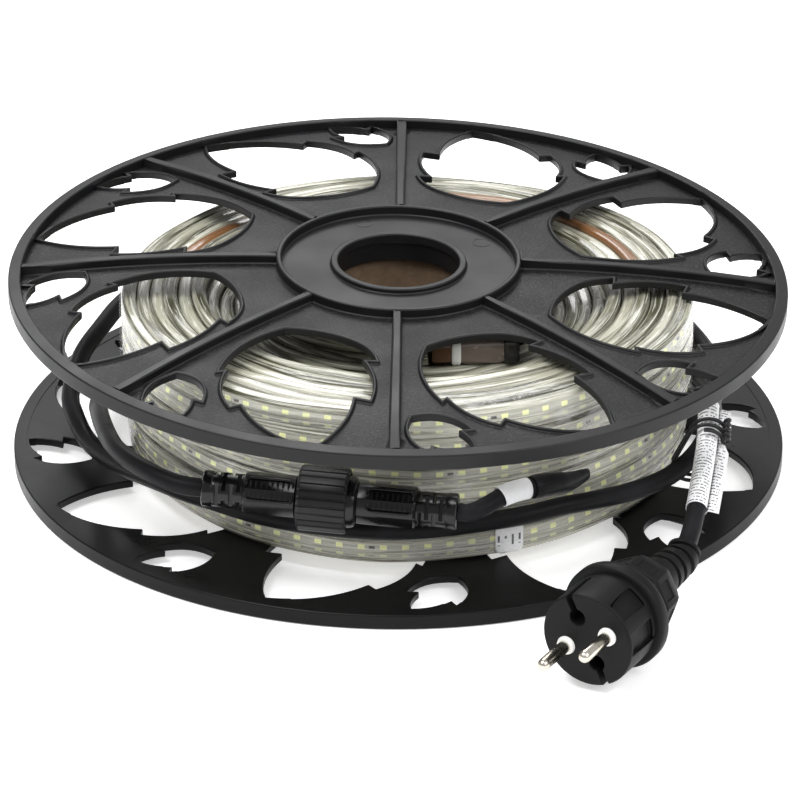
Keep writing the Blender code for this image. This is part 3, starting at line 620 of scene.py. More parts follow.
def turned(profile, sides, ring=False, radius_at=None):
    """A body turned around Z from (radius, height) points; a ring's profile closes on itself."""
    shape = bmesh.new()
    rows = []
    for radius, height in profile:
        if radius == 0.0:
            rows.append([shape.verts.new((0, 0, height))])
            continue
        row = []
        for number in range(sides):
            angle = 2*math.pi*number/sides
            reach = radius_at(radius, angle) if radius_at else radius
            row.append(shape.verts.new((reach*math.cos(angle), reach*math.sin(angle), height)))
        rows.append(row)
    bridge(shape, rows, closed_rows=ring)
    return shape


def smooth_line(points, spacing):
    """Points at an even spacing on a smooth curve through the given points, all in metres."""
    knots = [2*points[0]-points[1]]+list(points)+[2*points[-1]-points[-2]]
    fine = []
    for before, here, there, after in zip(knots, knots[1:], knots[2:], knots[3:]):
        for step in range(24):
            t = step/24
            fine.append(0.5*(2*here+(there-before)*t
                             + (2*before-5*here+4*there-after)*t**2
                             + (3*here-before-3*there+after)*t**3))
    fine.append(knots[-2])
    lengths = [0.0]
    for a, b in zip(fine, fine[1:]):
        lengths.append(lengths[-1]+(b-a).length)
    count = max(2, round(lengths[-1]/spacing))
    picked = []
    index = 0
    for number in range(count+1):
        wanted = lengths[-1]*number/count
        while index < len(fine)-2 and lengths[index+1] < wanted:
            index += 1
        share = (wanted-lengths[index])/max(lengths[index+1]-lengths[index], 1e-12)
        picked.append(fine[index].lerp(fine[index+1], min(1.0, share)))
    return picked


def line_length(points):
    """The length of a line of points."""
    return sum((b-a).length for a, b in zip(points, points[1:]))


def cord_curve(name, points, diameter):
    """A round cord as one open spline."""
    curve = bpy.data.curves.new(name, "CURVE")
    curve.dimensions = "3D"
    curve.bevel_depth = diameter/2
    curve.bevel_resolution = 6
    curve.use_fill_caps = True
    spline = curve.splines.new("POLY")
    spline.points.add(len(points)-1)
    for knot, point in zip(spline.points, points):
        knot.co = (*point, 1.0)
    spline.use_smooth = True
    return curve


def stations_along(points, across):
    """(point, ahead, side, up) at each point, square to the line."""
    found = []
    for number, point in enumerate(points):
        before = points[max(0, number-1)]
        after = points[min(len(points)-1, number+1)]
        ahead = (after-before).normalized()
        up = ahead.cross(across).normalized()
        side = up.cross(ahead).normalized()
        found.append((point, ahead, side, up))
    return found


def swept(stations, outline_at, run=None, closed_loop=True, caps=True):
    """A body swept through stations with an outline of (side, up) offsets at each.

    Where run is given, the UV goes from 0 to run along the body and from 0 to 1 around it.
    """
    shape = bmesh.new()
    rows = []
    for number, (point, _, side, up) in enumerate(stations):
        rows.append([shape.verts.new(point+side*a+up*b) for a, b in outline_at(number)])
    bridge(shape, rows, False, closed_loop)
    if run is not None:
        layer = shape.loops.layers.uv.new("UVMap")
        places = {}
        size = len(rows[0])-(0 if closed_loop else 1)
        for r, row in enumerate(rows):
            for c, vert in enumerate(row):
                places[vert] = (run*r/(len(rows)-1), c/size)
        for face in shape.faces:
            values = [places[loop.vert] for loop in face.loops]
            wraps = max(v for _, v in values)-min(v for _, v in values) > 0.5
            for loop, (u, v) in zip(face.loops, values):
                loop[layer].uv = (u, 1.0 if wraps and v == 0.0 else v)
    if caps and closed_loop:
        shape.faces.new(list(reversed(rows[0])))
        shape.faces.new(rows[-1])
    return shape


def circle(radius, sides):
    """A round outline."""
    angles = [2*math.pi*number/sides for number in range(sides)]
    return [(radius*math.cos(angle), radius*math.sin(angle)) for angle in angles]


def as_cutter(shape):
    """A shape as a mesh object that cuts others and isn't kept."""
    mesh = bpy.data.meshes.new("cutter")
    shape.to_mesh(mesh)
    shape.free()
    cutter = bpy.data.objects.new("cutter", mesh)
    bpy.context.scene.collection.objects.link(cutter)
    return cutter


def box_cutter(size, matrix):
    """A box that cuts others."""
    shape = bmesh.new()
    bmesh.ops.create_cube(shape, size=1.0, matrix=matrix @ Matrix.Diagonal((*size, 1.0)))
    return as_cutter(shape)


def carve(mesh, cutters, sharp=35.0):
    """The mesh with the cutters' volumes taken out; the cutters are removed."""
    holder = bpy.data.objects.new("carved", mesh)
    bpy.context.scene.collection.objects.link(holder)
    for cutter in cutters:
        cut = holder.modifiers.new("cut", "BOOLEAN")
        cut.operation = "DIFFERENCE"
        cut.solver = "EXACT"
        cut.object = cutter
    bpy.context.view_layer.update()
    result = bpy.data.meshes.new_from_object(holder.evaluated_get(bpy.context.evaluated_depsgraph_get()))
    result.name = mesh.name+"_carved"
    bpy.data.objects.remove(holder, do_unlink=True)
    for cutter in cutters:
        bpy.data.objects.remove(cutter, do_unlink=True)
    if len(result.polygons) < len(mesh.polygons)//2:
        raise RuntimeError("carving left too little of "+mesh.name)
    result.shade_smooth()
    result.set_sharp_from_angle(angle=math.radians(sharp))
    return result


# Flange

def leaf_outline(corners):
    """A leaf's outline with its bowed sides as arcs; each corner gives x, y and the bow after it."""
    outline = []
    for number, (x, y, bow) in enumerate(corners):
        start = Vector((x, y))*MM
        end = Vector(corners[(number+1) % len(corners)][:2])*MM
        chord = end-start
        outline.append(start)
        if bow == 0.0:
            continue
        out = Vector((chord.y, -chord.x)).normalized()
        steps = max(2, round(chord.length/LEAF_STEP))
        for step in range(1, steps):
            share = step/steps
            outline.append(start+chord*share+out*bow*MM*4*share*(1-share))
    return outline


def grown(outline, width):
    """The outline moved outward by a width."""
    moved = []
    for before, here, after in zip(outline[-1:]+outline[:-1], outline, outline[1:]+outline[:1]):
        first = (here-before).normalized()
        second = (after-here).normalized()
        out_first = Vector((first.y, -first.x))
        out_second = Vector((second.y, -second.x))
        middle = (out_first+out_second).normalized()
        moved.append(here+middle*width/max(0.5, middle.dot(out_first)))
    return moved


def inside(point, outline):
    """Whether a plan point is inside an outline."""
    found = False
    for a, b in zip(outline, outline[1:]+outline[:1]):
        if (a.y > point.y) != (b.y > point.y):
            if point.x < a.x+(b.x-a.x)*(point.y-a.y)/(b.y-a.y):
                found = not found
    return found


def turn_plan(point, angle):
    """A plan point turned about the axis."""
    c, s = math.cos(angle), math.sin(angle)
    return Vector((c*point.x-s*point.y, s*point.x+c*point.y))


def rib_half_width(reach):
    """Half the width of a rib at a distance from the axis."""
    share = (reach-HUB_RING_R)/(RIM_INNER_R-HUB_RING_R)
    return RIB_HALF_HUB+(RIB_HALF_RIM-RIB_HALF_HUB)*share


def polygon_radius(point, sides):
    """A plan point's radius on a many-sided circle."""
    step = 2*math.pi/sides
    off = math.atan2(point.y, point.x) % step-step/2
    return point.length*math.cos(off)/math.cos(step/2)


def flange_levels(point, leaves, lips, lip_top):
    """Lower height, upper height and finish over a plan point, or None in an opening; finish 1, on the
    plates, takes the material with painted shade.
    """
    sector = 2*math.pi/SECTORS
    azimuth = math.atan2(point.y, point.x)
    hub = polygon_radius(point, HUB_SIDES)
    if hub < HOLE_R:
        return None
    if hub < HOLE_LIP_R:
        return (0.0, HOLE_LIP_TOP, 0)
    if hub < COLLAR_R:
        return (-COLLAR_DEPTH, HOLE_LIP_TOP, 0)
    if polygon_radius(point, RIM_SIDES) > RIM_INNER_R:
        return (-0.25*MM, FLANGE_DEPTH, 0)
    if HUB_RING_INNER_R < hub < HUB_RING_R:
        return (0.0, FLANGE_DEPTH, 0)
    along_rib = turn_plan(point, -sector*round(azimuth/sector))
    if hub > HUB_RING_R and abs(along_rib.y) < rib_half_width(along_rib.x):
        return (0.0, FLANGE_DEPTH-0.3*MM, 0)
    centre = sector*(math.floor(azimuth/sector)+0.5)
    in_sector = turn_plan(point, math.pi/2-centre)
    if any(inside(in_sector, leaf) for leaf in leaves):
        return None
    if any(inside(in_sector, lip) for lip in lips):
        return (0.0, lip_top, 0)
    return (0.0, PLATE, 1 if hub > HUB_RING_R else 0)


def dome_rise(reach, dome):
    """How far the dome lifts the moulding at a distance from the axis."""
    share = (max(reach, HUB_RING_R)-HUB_RING_R)/(FLANGE_R-HUB_RING_R)
    return dome*max(0.0, 1-share*share)


def flange_mesh(name, dome, looks):
    """The moulding with its smooth side at z = 0, its ribs and lips above, domed to the hub."""
    leaves = [leaf_outline(BIG_LEAF), leaf_outline(SMALL_LEAF)]
    lips = [grown(leaf, looks.lip_width) for leaf in leaves]
    lip_top = PLATE+looks.lip_height
    points = []
    edges = []

    def add_line(line, closed):
        first = len(points)
        points.extend(line)
        edges.extend((first+n, first+n+1) for n in range(len(line)-1))
        if closed:
            edges.append((first+len(line)-1, first))

    for radius, sides in ((FLANGE_R, RIM_SIDES), (RIM_INNER_R, RIM_SIDES), (HUB_RING_R, HUB_SIDES),
                          (HUB_RING_INNER_R, HUB_SIDES), (COLLAR_R, HUB_SIDES),
                          (HOLE_LIP_R, HUB_SIDES), (HOLE_R, HUB_SIDES)):
        add_line([Vector(p) for p in circle(radius, sides)], True)
    sector = 2*math.pi/SECTORS
    for number in range(SECTORS):
        for side in (-1, 1):
            line = []
            for step in range(9):
                reach = HUB_RING_R-0.5*MM+(RIM_INNER_R-HUB_RING_R+1.0*MM)*step/8
                line.append(turn_plan(Vector((reach, side*rib_half_width(reach))), sector*number))
            add_line(line, False)
        for leaf in leaves+lips:
            add_line([turn_plan(p, sector*(number+0.5)-math.pi/2) for p in leaf], True)
    found = delaunay_2d_cdt(points, edges, [], 1, 1e-6)
    plan, triangles = found[0], found[2]
    levels = {}
    neighbours = {}
    for number, corners in enumerate(triangles):
        middle = sum((plan[c] for c in corners), Vector((0, 0)))/len(corners)
        levels[number] = flange_levels(middle, leaves, lips, lip_top)
        for a, b in zip(corners, corners[1:]+corners[:1]):
            neighbours[(a, b)] = number
    shape = bmesh.new()
    made = {}

    def corner(index, height):
        key = (index, round(height, 7))
        if key not in made:
            x, y = plan[index]
            made[key] = shape.verts.new((x, y, height+dome_rise(plan[index].length, dome)))
        return made[key]

    # a top and a foot over each plan triangle, and walls where the level changes
    for number, corners in enumerate(triangles):
        if levels[number] is None:
            continue
        bottom, top, finish = levels[number]
        shape.faces.new([corner(c, top) for c in corners]).material_index = finish
        shape.faces.new([corner(c, bottom) for c in reversed(corners)])
        for a, b in zip(corners, corners[1:]+corners[:1]):
            beside = levels.get(neighbours.get((b, a)))
            spans = [(bottom, top)]
            if beside is not None:
                spans = [(bottom, beside[0]), (beside[1], top)]
            for low, high in spans:
                if high-low > 1e-6:
                    shape.faces.new([corner(a, low), corner(b, low), corner(b, high), corner(a, high)])
    bmesh.ops.dissolve_degenerate(shape, dist=1e-6, edges=list(shape.edges))
    # rounded edges everywhere, apart from where a leaf's lip runs into the rim
    weight = shape.edges.layers.float.new("bevel_weight_edge")
    for edge in shape.edges:
        reach = max(vert.co.xy.length for vert in edge.verts)
        flat = all(vert.co.z-dome_rise(vert.co.xy.length, dome) < FLANGE_DEPTH-1.0*MM
                   for vert in edge.verts)
        crowded = flat and RIM_INNER_R-3.0*MM < reach < RIM_INNER_R+3.0*MM
        if len(edge.link_faces) == 2 and edge.calc_face_angle(0.0) > math.radians(35) and not crowded:
            edge[weight] = 1.0
    mesh = bpy.data.meshes.new(name)
    shape.to_mesh(mesh)
    shape.free()
    mesh.shade_smooth()
    mesh.set_sharp_from_angle(angle=math.radians(28))
    return mesh


def upper_flange_matrix():
    """Where the upper flange's moulding stands."""
    lean = Matrix.Translation((0, 0, UPPER_Z)) @ Matrix.Rotation(UPPER_PITCH, 4, "X")
    lean = lean @ Matrix.Rotation(UPPER_TILT, 4, "Y")
    return lean @ Matrix.Rotation(UPPER_SPIN, 4, "Z")


def lower_flange_matrix():
    """Where the lower flange's moulding lies, turned over."""
    spin = Matrix.Translation((0, 0, FLANGE_DEPTH)) @ Matrix.Rotation(LOWER_SPIN, 4, "Z")
    return spin @ Matrix.Rotation(math.pi, 4, "X")


def build_flanges(looks):
    """Both flanges with lips round their leaves and rounded edges."""
    color = tuple(looks.plastic)
    smooth = moulded_plastic("flange_smooth", color, 0.42, 1500.0, 0.00001, 0.5)
    # the recessed plates take the same plastic made darker: painted shade, with painted glints on their grain
    grained_shaded = moulded_plastic("flange_grained_shaded", scaled(color, 0.7), 0.5, 1000.0, 0.0002, 0.06, grain_glints=0.9)
    # the lower flange is the same plastic made darker: painted shade under the upper flange
    lower_shaded_smooth = moulded_plastic("lower_flange_shaded_smooth", scaled(color, 0.45), 0.34, 900.0, 0.00002, 0.8,
                                   gloss=0.14)
    for side, dome, look, matrix in (("upper", UPPER_DOME, smooth, upper_flange_matrix()),
                                     ("lower", 0.0, lower_shaded_smooth, lower_flange_matrix())):
        name = side+"_flange_dressed"
        mesh = flange_mesh(name, dome, looks)
        piece = dress(name, mesh, [look, grained_shaded], node=side+"_flange", matrix=matrix)
        round_edges(piece, looks.edge, weighed=True)
    marks = []
    for x, y in HUB_MARKS:
        shape = turned([(HUB_MARK_R+side*HUB_MARK_WALL/2, PLATE+height)
                        for side, height in ((-1, -0.3*MM), (1, -0.3*MM), (1, 0.12*MM), (-1, 0.12*MM))],
                       40, ring=True)
        shape.transform(upper_flange_matrix() @ Matrix.Translation((x, y, UPPER_DOME)))
        marks.append(shape)
    dress("hub_marks", join_shapes("hub_marks", marks), smooth)


def build_core(looks):
    """The cardboard tube with its wound seam and frayed ends."""
    made, tree, shader, coords = start_material("cardboard")
    here = coords.outputs["Object"]
    fibre = add_noise(tree, here, 260.0, 6.0, 0.7)
    color = tuple(looks.cardboard)
    tree.links.new(add_mix(tree, add_range(tree, fibre, 0.3, 0.7), scaled(color, 0.82), scaled(color, 1.15)),
                   shader.inputs["Base Color"])
    shader.inputs["Roughness"].default_value = 0.9
    add_bump(tree, shader, fibre, 0.0003)
    soft = 0.4*MM
    profile = [(CORE_BORE_R, 0.3*MM), (CORE_BORE_R+soft, 0.0), (CORE_R-soft, 0.0), (CORE_R, soft)]
    for step in range(1, 12):
        profile.append((CORE_R+0.12*MM*(step % 2), CORE_LENGTH*step/12))
    profile += [(CORE_R, CORE_LENGTH-soft), (CORE_R-soft, CORE_LENGTH),
                (CORE_BORE_R+soft, CORE_LENGTH), (CORE_BORE_R, CORE_LENGTH-0.3*MM)]
    add_piece("core_tube_dressed", turned(profile, 96, ring=True), made, 60.0, node="core_tube",
              matrix=Matrix.Translation((0, 0, STACK_Z)))


# Coil

def coil_side_radius(height):
    """The coil's outer radius at a height over its foot."""
    share = min(1.0, height/(0.6*COIL_HEIGHT))
    return COIL_R-COIL_FOOT_INSET*(1-share)**2


def coil_top(radius):
    """The height of the coil's upper end over its foot."""
    turns_in = (radius-COIL_BORE_R)/COIL_PITCH-COIL_INNER_TURNS
    return COIL_HEIGHT-COIL_INNER_DROP*min(1.0, max(0.0, 1-turns_in/1.5))


def strip_section(half_width, half_height):
    """The strip's section: rounded corners and a shallow groove along its outer broad face.

    It starts at the middle of the inner broad face and runs by the foot, the outer face and the top.
    """
    corner = min(half_width, half_height)*0.62
    levels = [half_height*(step/10)*0.99 for step in range(11)]
    levels = [level for level in levels if level < half_height-corner]
    outline = [(-half_width, -level) for level in levels]
    for sign_x, sign_y, first in ((-1, -1, 180.0), (1, -1, 270.0), (1, 1, 0.0), (-1, 1, 90.0)):
        centre = (sign_x*(half_width-corner), sign_y*(half_height-corner))
        for step in range(5):
            angle = math.radians(first+90.0*step/4)
            outline.append((centre[0]+corner*math.cos(angle), centre[1]+corner*math.sin(angle)))
        if sign_x == 1 and sign_y == -1:
            for step in range(-4, 5):
                groove = 0.05*half_width*(1+math.cos(math.pi*step/2.0))
                outline.append((half_width-groove, (half_height-corner)*step/5))
    outline += [(-half_width, level) for level in reversed(levels[1:])]
    return outline


def ring_band(middle_r, middle_z, rng, wander, sides=150):
    """One turn of the strip as a closed ring with lengths as its UV."""
    phases = [rng.uniform(0, 2*math.pi) for _ in range(6)]
    start = rng.uniform(0, 1)
    shape = bmesh.new()
    outline = strip_section(COIL_PITCH/2*1.04, ROW_HEIGHT/2*1.03)
    places = {}
    rows = []
    for number in range(sides):
        angle = 2*math.pi*number/sides
        lift = wander*(math.sin(2*angle+phases[0])+0.6*math.sin(5*angle+phases[1])
                       + 0.3*math.sin(11*angle+phases[2]))
        push = 0.45*wander*(math.sin(3*angle+phases[3])+0.5*math.sin(7*angle+phases[4]))
        lean = 0.10*math.sin(2*angle+phases[5])
        row = []
        for a, b in outline:
            out = a*math.cos(lean)-b*math.sin(lean)
            up = a*math.sin(lean)+b*math.cos(lean)
            reach = middle_r+push+out
            row.append(shape.verts.new((reach*math.cos(angle), reach*math.sin(angle), middle_z+lift+up)))
        places.update((vert, (number, c)) for c, vert in enumerate(row))
        rows.append(row)
    bridge(shape, rows, closed_rows=True)
    layer = shape.loops.layers.uv.new("UVMap")
    size = len(outline)
    for face in shape.faces:
        values = [places[loop.vert] for loop in face.loops]
        r_wrap = max(r for r, _ in values)-min(r for r, _ in values) > sides/2
        c_wrap = max(c for _, c in values)-min(c for _, c in values) > size/2
        for loop, (r, c) in zip(face.loops, values):
            r = r+sides if r_wrap and r == 0 else r
            c = c+size if c_wrap and c == 0 else c
            loop[layer].uv = (start+2*math.pi*middle_r*r/sides, c/size)
    return shape


def join_shapes(name, shapes, sharp=60.0):
    """Several shapes as one mesh."""
    whole = bmesh.new()
    for shape in shapes:
        part = bpy.data.meshes.new("part")
        shape.to_mesh(part)
        shape.free()
        whole.from_mesh(part)
        bpy.data.meshes.remove(part)
    return finish_mesh(name, whole, sharp)


def build_coil(looks):
    """The coil as separate turns where they show, around a dark backing body that paints the shade between
    them.
    """
    rng = random.Random(looks.seed)
    half_width = COIL_PITCH/2*1.04

    def add_turns(name, shapes, look, node=None):
        dress(name, join_shapes(name, shapes), look, node=node, matrix=COIL_AT)

    high = COIL_HEIGHT-5*MM
    inner_high = COIL_HEIGHT-COIL_INNER_DROP-4*MM
    backing = [(COIL_BORE_R+2.5*MM, 3*MM), (COIL_R-6*MM, 3*MM), (COIL_R-3*MM, 30*MM), (COIL_R-3*MM, high),
               (COIL_BORE_R+22*MM, high), (COIL_BORE_R+15*MM, inner_high), (COIL_BORE_R+2.5*MM, inner_high)]
    # the backing's dark colour is painted shade in the gaps between the turns
    add_piece("coil_shaded_backing", turned(backing, 72, ring=True),
              moulded_plastic("coil_shaded_backing", (0.10, 0.10, 0.08), 0.4), matrix=COIL_AT)

    heights = [ROW_HEIGHT*(number+0.5) for number in range(COIL_ROWS)]
    reaches = [COIL_BORE_R+COIL_PITCH*(number+0.5) for number in range(COIL_TURNS-1)]
    outer = [ring_band(coil_side_radius(height)-half_width, height, rng, looks.wander) for height in heights]
    # the second row of lights is a painted reflection of the first in the clear sleeve
    add_turns("strip_coil_outer", outer,
              clear_strip("strip_outer", looks, ((0.56, 0.036, 1.0), (0.44, 0.022, 0.45)), 3.0, bands=20.0),
              "strip_coil")
    tops = [ring_band(reach, coil_top(reach)-ROW_HEIGHT/2, rng, looks.wander) for reach in reaches]
    copper_turn = tops.pop(COPPER_TURN)
    add_turns("strip_coil_top", tops, clear_strip("strip_top", looks, (), 11.0))
    add_turns("strip_coil_copper_turn", [copper_turn],
              clear_strip("strip_copper_turn", looks, (), 17.0, copper=0.76))
    hidden = [ring_band(reach, ROW_HEIGHT/2, rng, 0.3*MM, 120) for reach in reaches]
    hidden += [ring_band(COIL_BORE_R+half_width, height, rng, 0.3*MM, 100) for height in heights[1:-1]]
    add_turns("strip_coil_foot", hidden, clear_strip("strip_foot", looks, (), 23.0))


def build_inner_strands(looks):
    """The strip's free inner stretches, which curl into the coil's bore and up to its end."""
    look = clear_strip("strip_inner", looks, (), 41.0)
    seat = STACK_Z+COIL_HEIGHT-COIL_INNER_DROP
    upward = Vector((0, 0, 1))
    for number, strand in enumerate(INNER_STRANDS):
        points = []
        for azimuth, reach, height in strand:
            angle = math.radians(azimuth)
            points.append(Vector((COIL_SHIFT_X+reach*MM*math.cos(angle), reach*MM*math.sin(angle),
                                  seat+height*MM)))
        path = smooth_line(points, 2.5*MM)
        held = []
        for point, ahead, _, _ in stations_along(path, Vector((0, 1, 0.01))):
            side = ahead.cross(upward).normalized()
            held.append((point, ahead, side, side.cross(ahead).normalized()))
        section = strip_section(COIL_PITCH/2*0.96, 5.2*MM)
        add_piece("strip_inner_%d" % number, swept(held, lambda _, section=section: section,
                                                   run=line_length(path)), look, 50.0)


def build_film():
    """Clear wrapping film round the coil, loose and creased."""
    made, tree, shader, coords = start_material("wrapping_film")
    here = coords.outputs["Object"]
    crease = add_noise(tree, here, 26.0, 6.0, 0.7, stretch=(1.0, 1.0, 3.0))
    fold = add_range(tree, crease, 0.52, 0.62)
    tree.links.new(add_range(tree, fold, 0.0, 1.0, 0.06, 0.26), shader.inputs["Alpha"])
    shader.inputs["Base Color"].default_value = (0.95, 0.95, 0.95, 1.0)
    shader.inputs["Roughness"].default_value = 0.08
    shader.inputs["Specular IOR Level"].default_value = 0.9
    add_bump(tree, shader, crease, 0.0005)
    shape = bmesh.new()
    rows = []
    for height in FILM_HEIGHTS:
        row = []
        for number in range(FILM_SIDES):
            angle = 2*math.pi*number/FILM_SIDES
            wave = noise.noise(Vector((4*math.cos(angle), 4*math.sin(angle), height*0.06)))
            reach = coil_side_radius(height*MM)+0.9*MM-max(0.0, height-FILM_SHOULDER)*1.6*MM+0.5*MM*wave
            row.append(shape.verts.new((reach*math.cos(angle), reach*math.sin(angle), height*MM)))
        rows.append(row)
    bridge(shape, rows)
    add_piece("wrapping_film", shape, made, 80.0, matrix=COIL_AT)


def build_strip_end():
    """The strip's inner end: brown ribbon, white band, clear body and black cap."""
    body = moulded_plastic("strip_end_body", (0.17, 0.135, 0.115), 0.16, 300.0, 0.0002, 0.9, gloss=0.8)
    brown = moulded_plastic("strip_end_ribbon", (0.10, 0.045, 0.02), 0.25, gloss=0.7)
    white = moulded_plastic("strip_end_band", (0.75, 0.75, 0.72), 0.35)
    black = moulded_plastic("strip_end_cap", (0.02, 0.02, 0.02), 0.3, gloss=0.6)
    at = STRIP_END_AT+Vector((0, 0, STACK_Z+COIL_HEIGHT-COIL_INNER_DROP+5.8*MM))
    turn = Matrix.Translation(at) @ Matrix.Rotation(STRIP_END_TURN, 4, "Z")
    for name, look, low, high, half_width, half_height in (
            ("ribbon", brown, -17.0, -9.2, 2.7, 4.3), ("band", white, -9.4, -5.8, 3.4, 5.3),
            ("body", body, -6.0, 11.4, 3.1, 5.0), ("cap", black, 11.0, 17.0, 3.4, 5.4)):
        section = strip_section(half_width*MM, half_height*MM)
        steps = 6

        def outline_at(number, section=section, ends=(0, steps)):
            ease = 0.88 if number in ends else 1.0
            return [(a*ease, b*ease) for a, b in section]

        points = route([(low+(high-low)*number/steps, 0, 0) for number in range(steps+1)])
        add_piece("strip_end_"+name, swept(stations_along(points, Vector((0, 1, 0))), outline_at, run=1.0),
                  look, 50.0, node="strip_end" if name == "body" else None, matrix=turn)


def build_strip_label(looks):
    """The white label on the lowest row, with rounded lower corners."""
    shape = bmesh.new()
    inner_r = coil_side_radius(5.6*MM)+0.35*MM
    half = LABEL_WIDTH/inner_r/2
    columns, levels = 16, 14
    layer = shape.loops.layers.uv.new("UVMap")
    grid = []
    for level in range(levels+1):
        share = level/levels
        height = STACK_Z+0.6*MM+LABEL_HEIGHT*MM*share
        corner = max(0.0, 1-share*LABEL_HEIGHT/LABEL_CORNER)
        trim = 1-(LABEL_CORNER*MM*2/LABEL_WIDTH)*(1-math.sqrt(max(0.0, 1-corner*corner)))
        row = []
        for column in range(columns+1):
            angle = LABEL_AZIMUTH+half*trim*(2*column/columns-1)
            vert = shape.verts.new((COIL_SHIFT_X+inner_r*math.cos(angle), inner_r*math.sin(angle), height))
            row.append((vert, (column/columns, share)))
        grid.append(row)
    for low, high in zip(grid, grid[1:]):
        for column in range(columns):
            quad = [low[column], low[column+1], high[column+1], high[column]]
            face = shape.faces.new([vert for vert, _ in quad])
            for loop, (_, uv) in zip(face.loops, quad):
                loop[layer].uv = uv
    look = label_paper("strip_label_paper", tuple(looks.paper), rows=4.0, dashes=9.0, margin=0.30)
    thicken(add_piece("strip_label_dressed", shape, look, 50.0, node="strip_label"), 0.35*MM)


# Connector

def connector_base():
    """The connector's frame: Z runs from the cord's end to the lead's end."""
    axis = CONNECTOR_END-CONNECTOR_START
    turn = Vector((0, 0, 1)).rotation_difference(axis).to_matrix().to_4x4()
    return Matrix.Translation(CONNECTOR_START) @ turn, axis.length


def slotted_boot(start, length, flip):
    """A strain relief sleeve with rows of slots, between two solid rings."""
    profile = [(0.0, start), (BOOT_R*0.98, start), (BOOT_R, start+0.3*MM), (BOOT_R, start+length-0.3*MM),
               (BOOT_R*0.98, start+length), (0.0, start+length)]
    rows, slots = 4, 3
    cutters = []
    for row in range(rows):
        height = start+length*(row+0.7)/(rows+0.4)
        for slot in range(slots):
            angle = 2*math.pi*(slot+0.5*(row % 2))/slots+flip
            place = Matrix.Rotation(angle, 4, "Z") @ Matrix.Translation((BOOT_R*0.93, 0, height))
            cutters.append(box_cutter((BOOT_R*0.42, BOOT_R*1.35, length*0.13), place))
    return carve(finish_mesh("boot", turned(profile, 48), 40.0), cutters, 40.0)


def ridge_angles(base):
    """Angles about the connector's axis for its two ridged sides: up to the front, and opposite."""
    front = base.to_3x3().inverted() @ Vector((0.1, -0.80, 0.62))
    angle = math.atan2(front.y, front.x)
    return (angle, angle+math.pi)


def ridge_panel(name, low, high, angle):
    """A rounded rectangle standing on the connector's side, with a row of ridges inside it."""
    turn = Matrix.Rotation(angle, 4, "Z")
    pitch = (high-low)/RIDGES
    shapes = []
    for number in range(RIDGES):
        shape = bmesh.new()
        size = Matrix.Diagonal((1.2*MM, RIDGE_R*0.92, pitch*0.42, 1.0))
        bmesh.ops.create_cube(shape, size=1.0, matrix=size)
        bmesh.ops.bevel(shape, geom=list(shape.edges), offset=0.25*MM, segments=2, affect="EDGES")
        shape.transform(turn @ Matrix.Translation((RIDGE_R+0.15*MM, 0, low+pitch*(number+0.5))))
        shapes.append(shape)
    corner = 1.6*MM
    side = RIDGE_R*0.60-corner
    top, foot = high+0.6*MM-corner, low-0.6*MM+corner
    line = []
    for x, z, first in ((side, top, 0), (-side, top, 90), (-side, foot, 180), (side, foot, 270)):
        for step in range(6):
            bend = math.radians(first+90*step/5)
            line.append(Vector((RIDGE_R-0.1*MM, x+corner*math.cos(bend), z+corner*math.sin(bend))))
    rim = bmesh.new()
    out = Vector((1, 0, 0))
    rows = []
    for before, here, after in zip(line[-1:]+line[:-1], line, line[1:]+line[:1]):
        across = (after-before).normalized().cross(out)
        rows.append([rim.verts.new(here+across*a*0.45*MM+out*b*0.55*MM)
                     for a, b in ((-1, -1), (1, -1), (1, 0.7), (0.6, 1), (-0.6, 1), (-1, 0.7))])
    bridge(rim, rows, closed_rows=True)
    rim.transform(turn)
    return join_shapes(name, shapes+[rim], 50.0)


def grip_radius(radius, angle):
    """The connector's halves are turned, with soft facets."""
    step = 2*math.pi/GRIP_FACETS
    return radius*(0.45+0.55*0.975/math.cos((angle % step)-step/2))


def nut_radius(radius, angle):
    """The nut's outer face has a groove between its ribs."""
    grooved = radius >= 12.0*MM and angle*NUT_RIBS/(2*math.pi) % 1.0 < 0.25
    return radius-NUT_RIB_DEPTH if grooved else radius


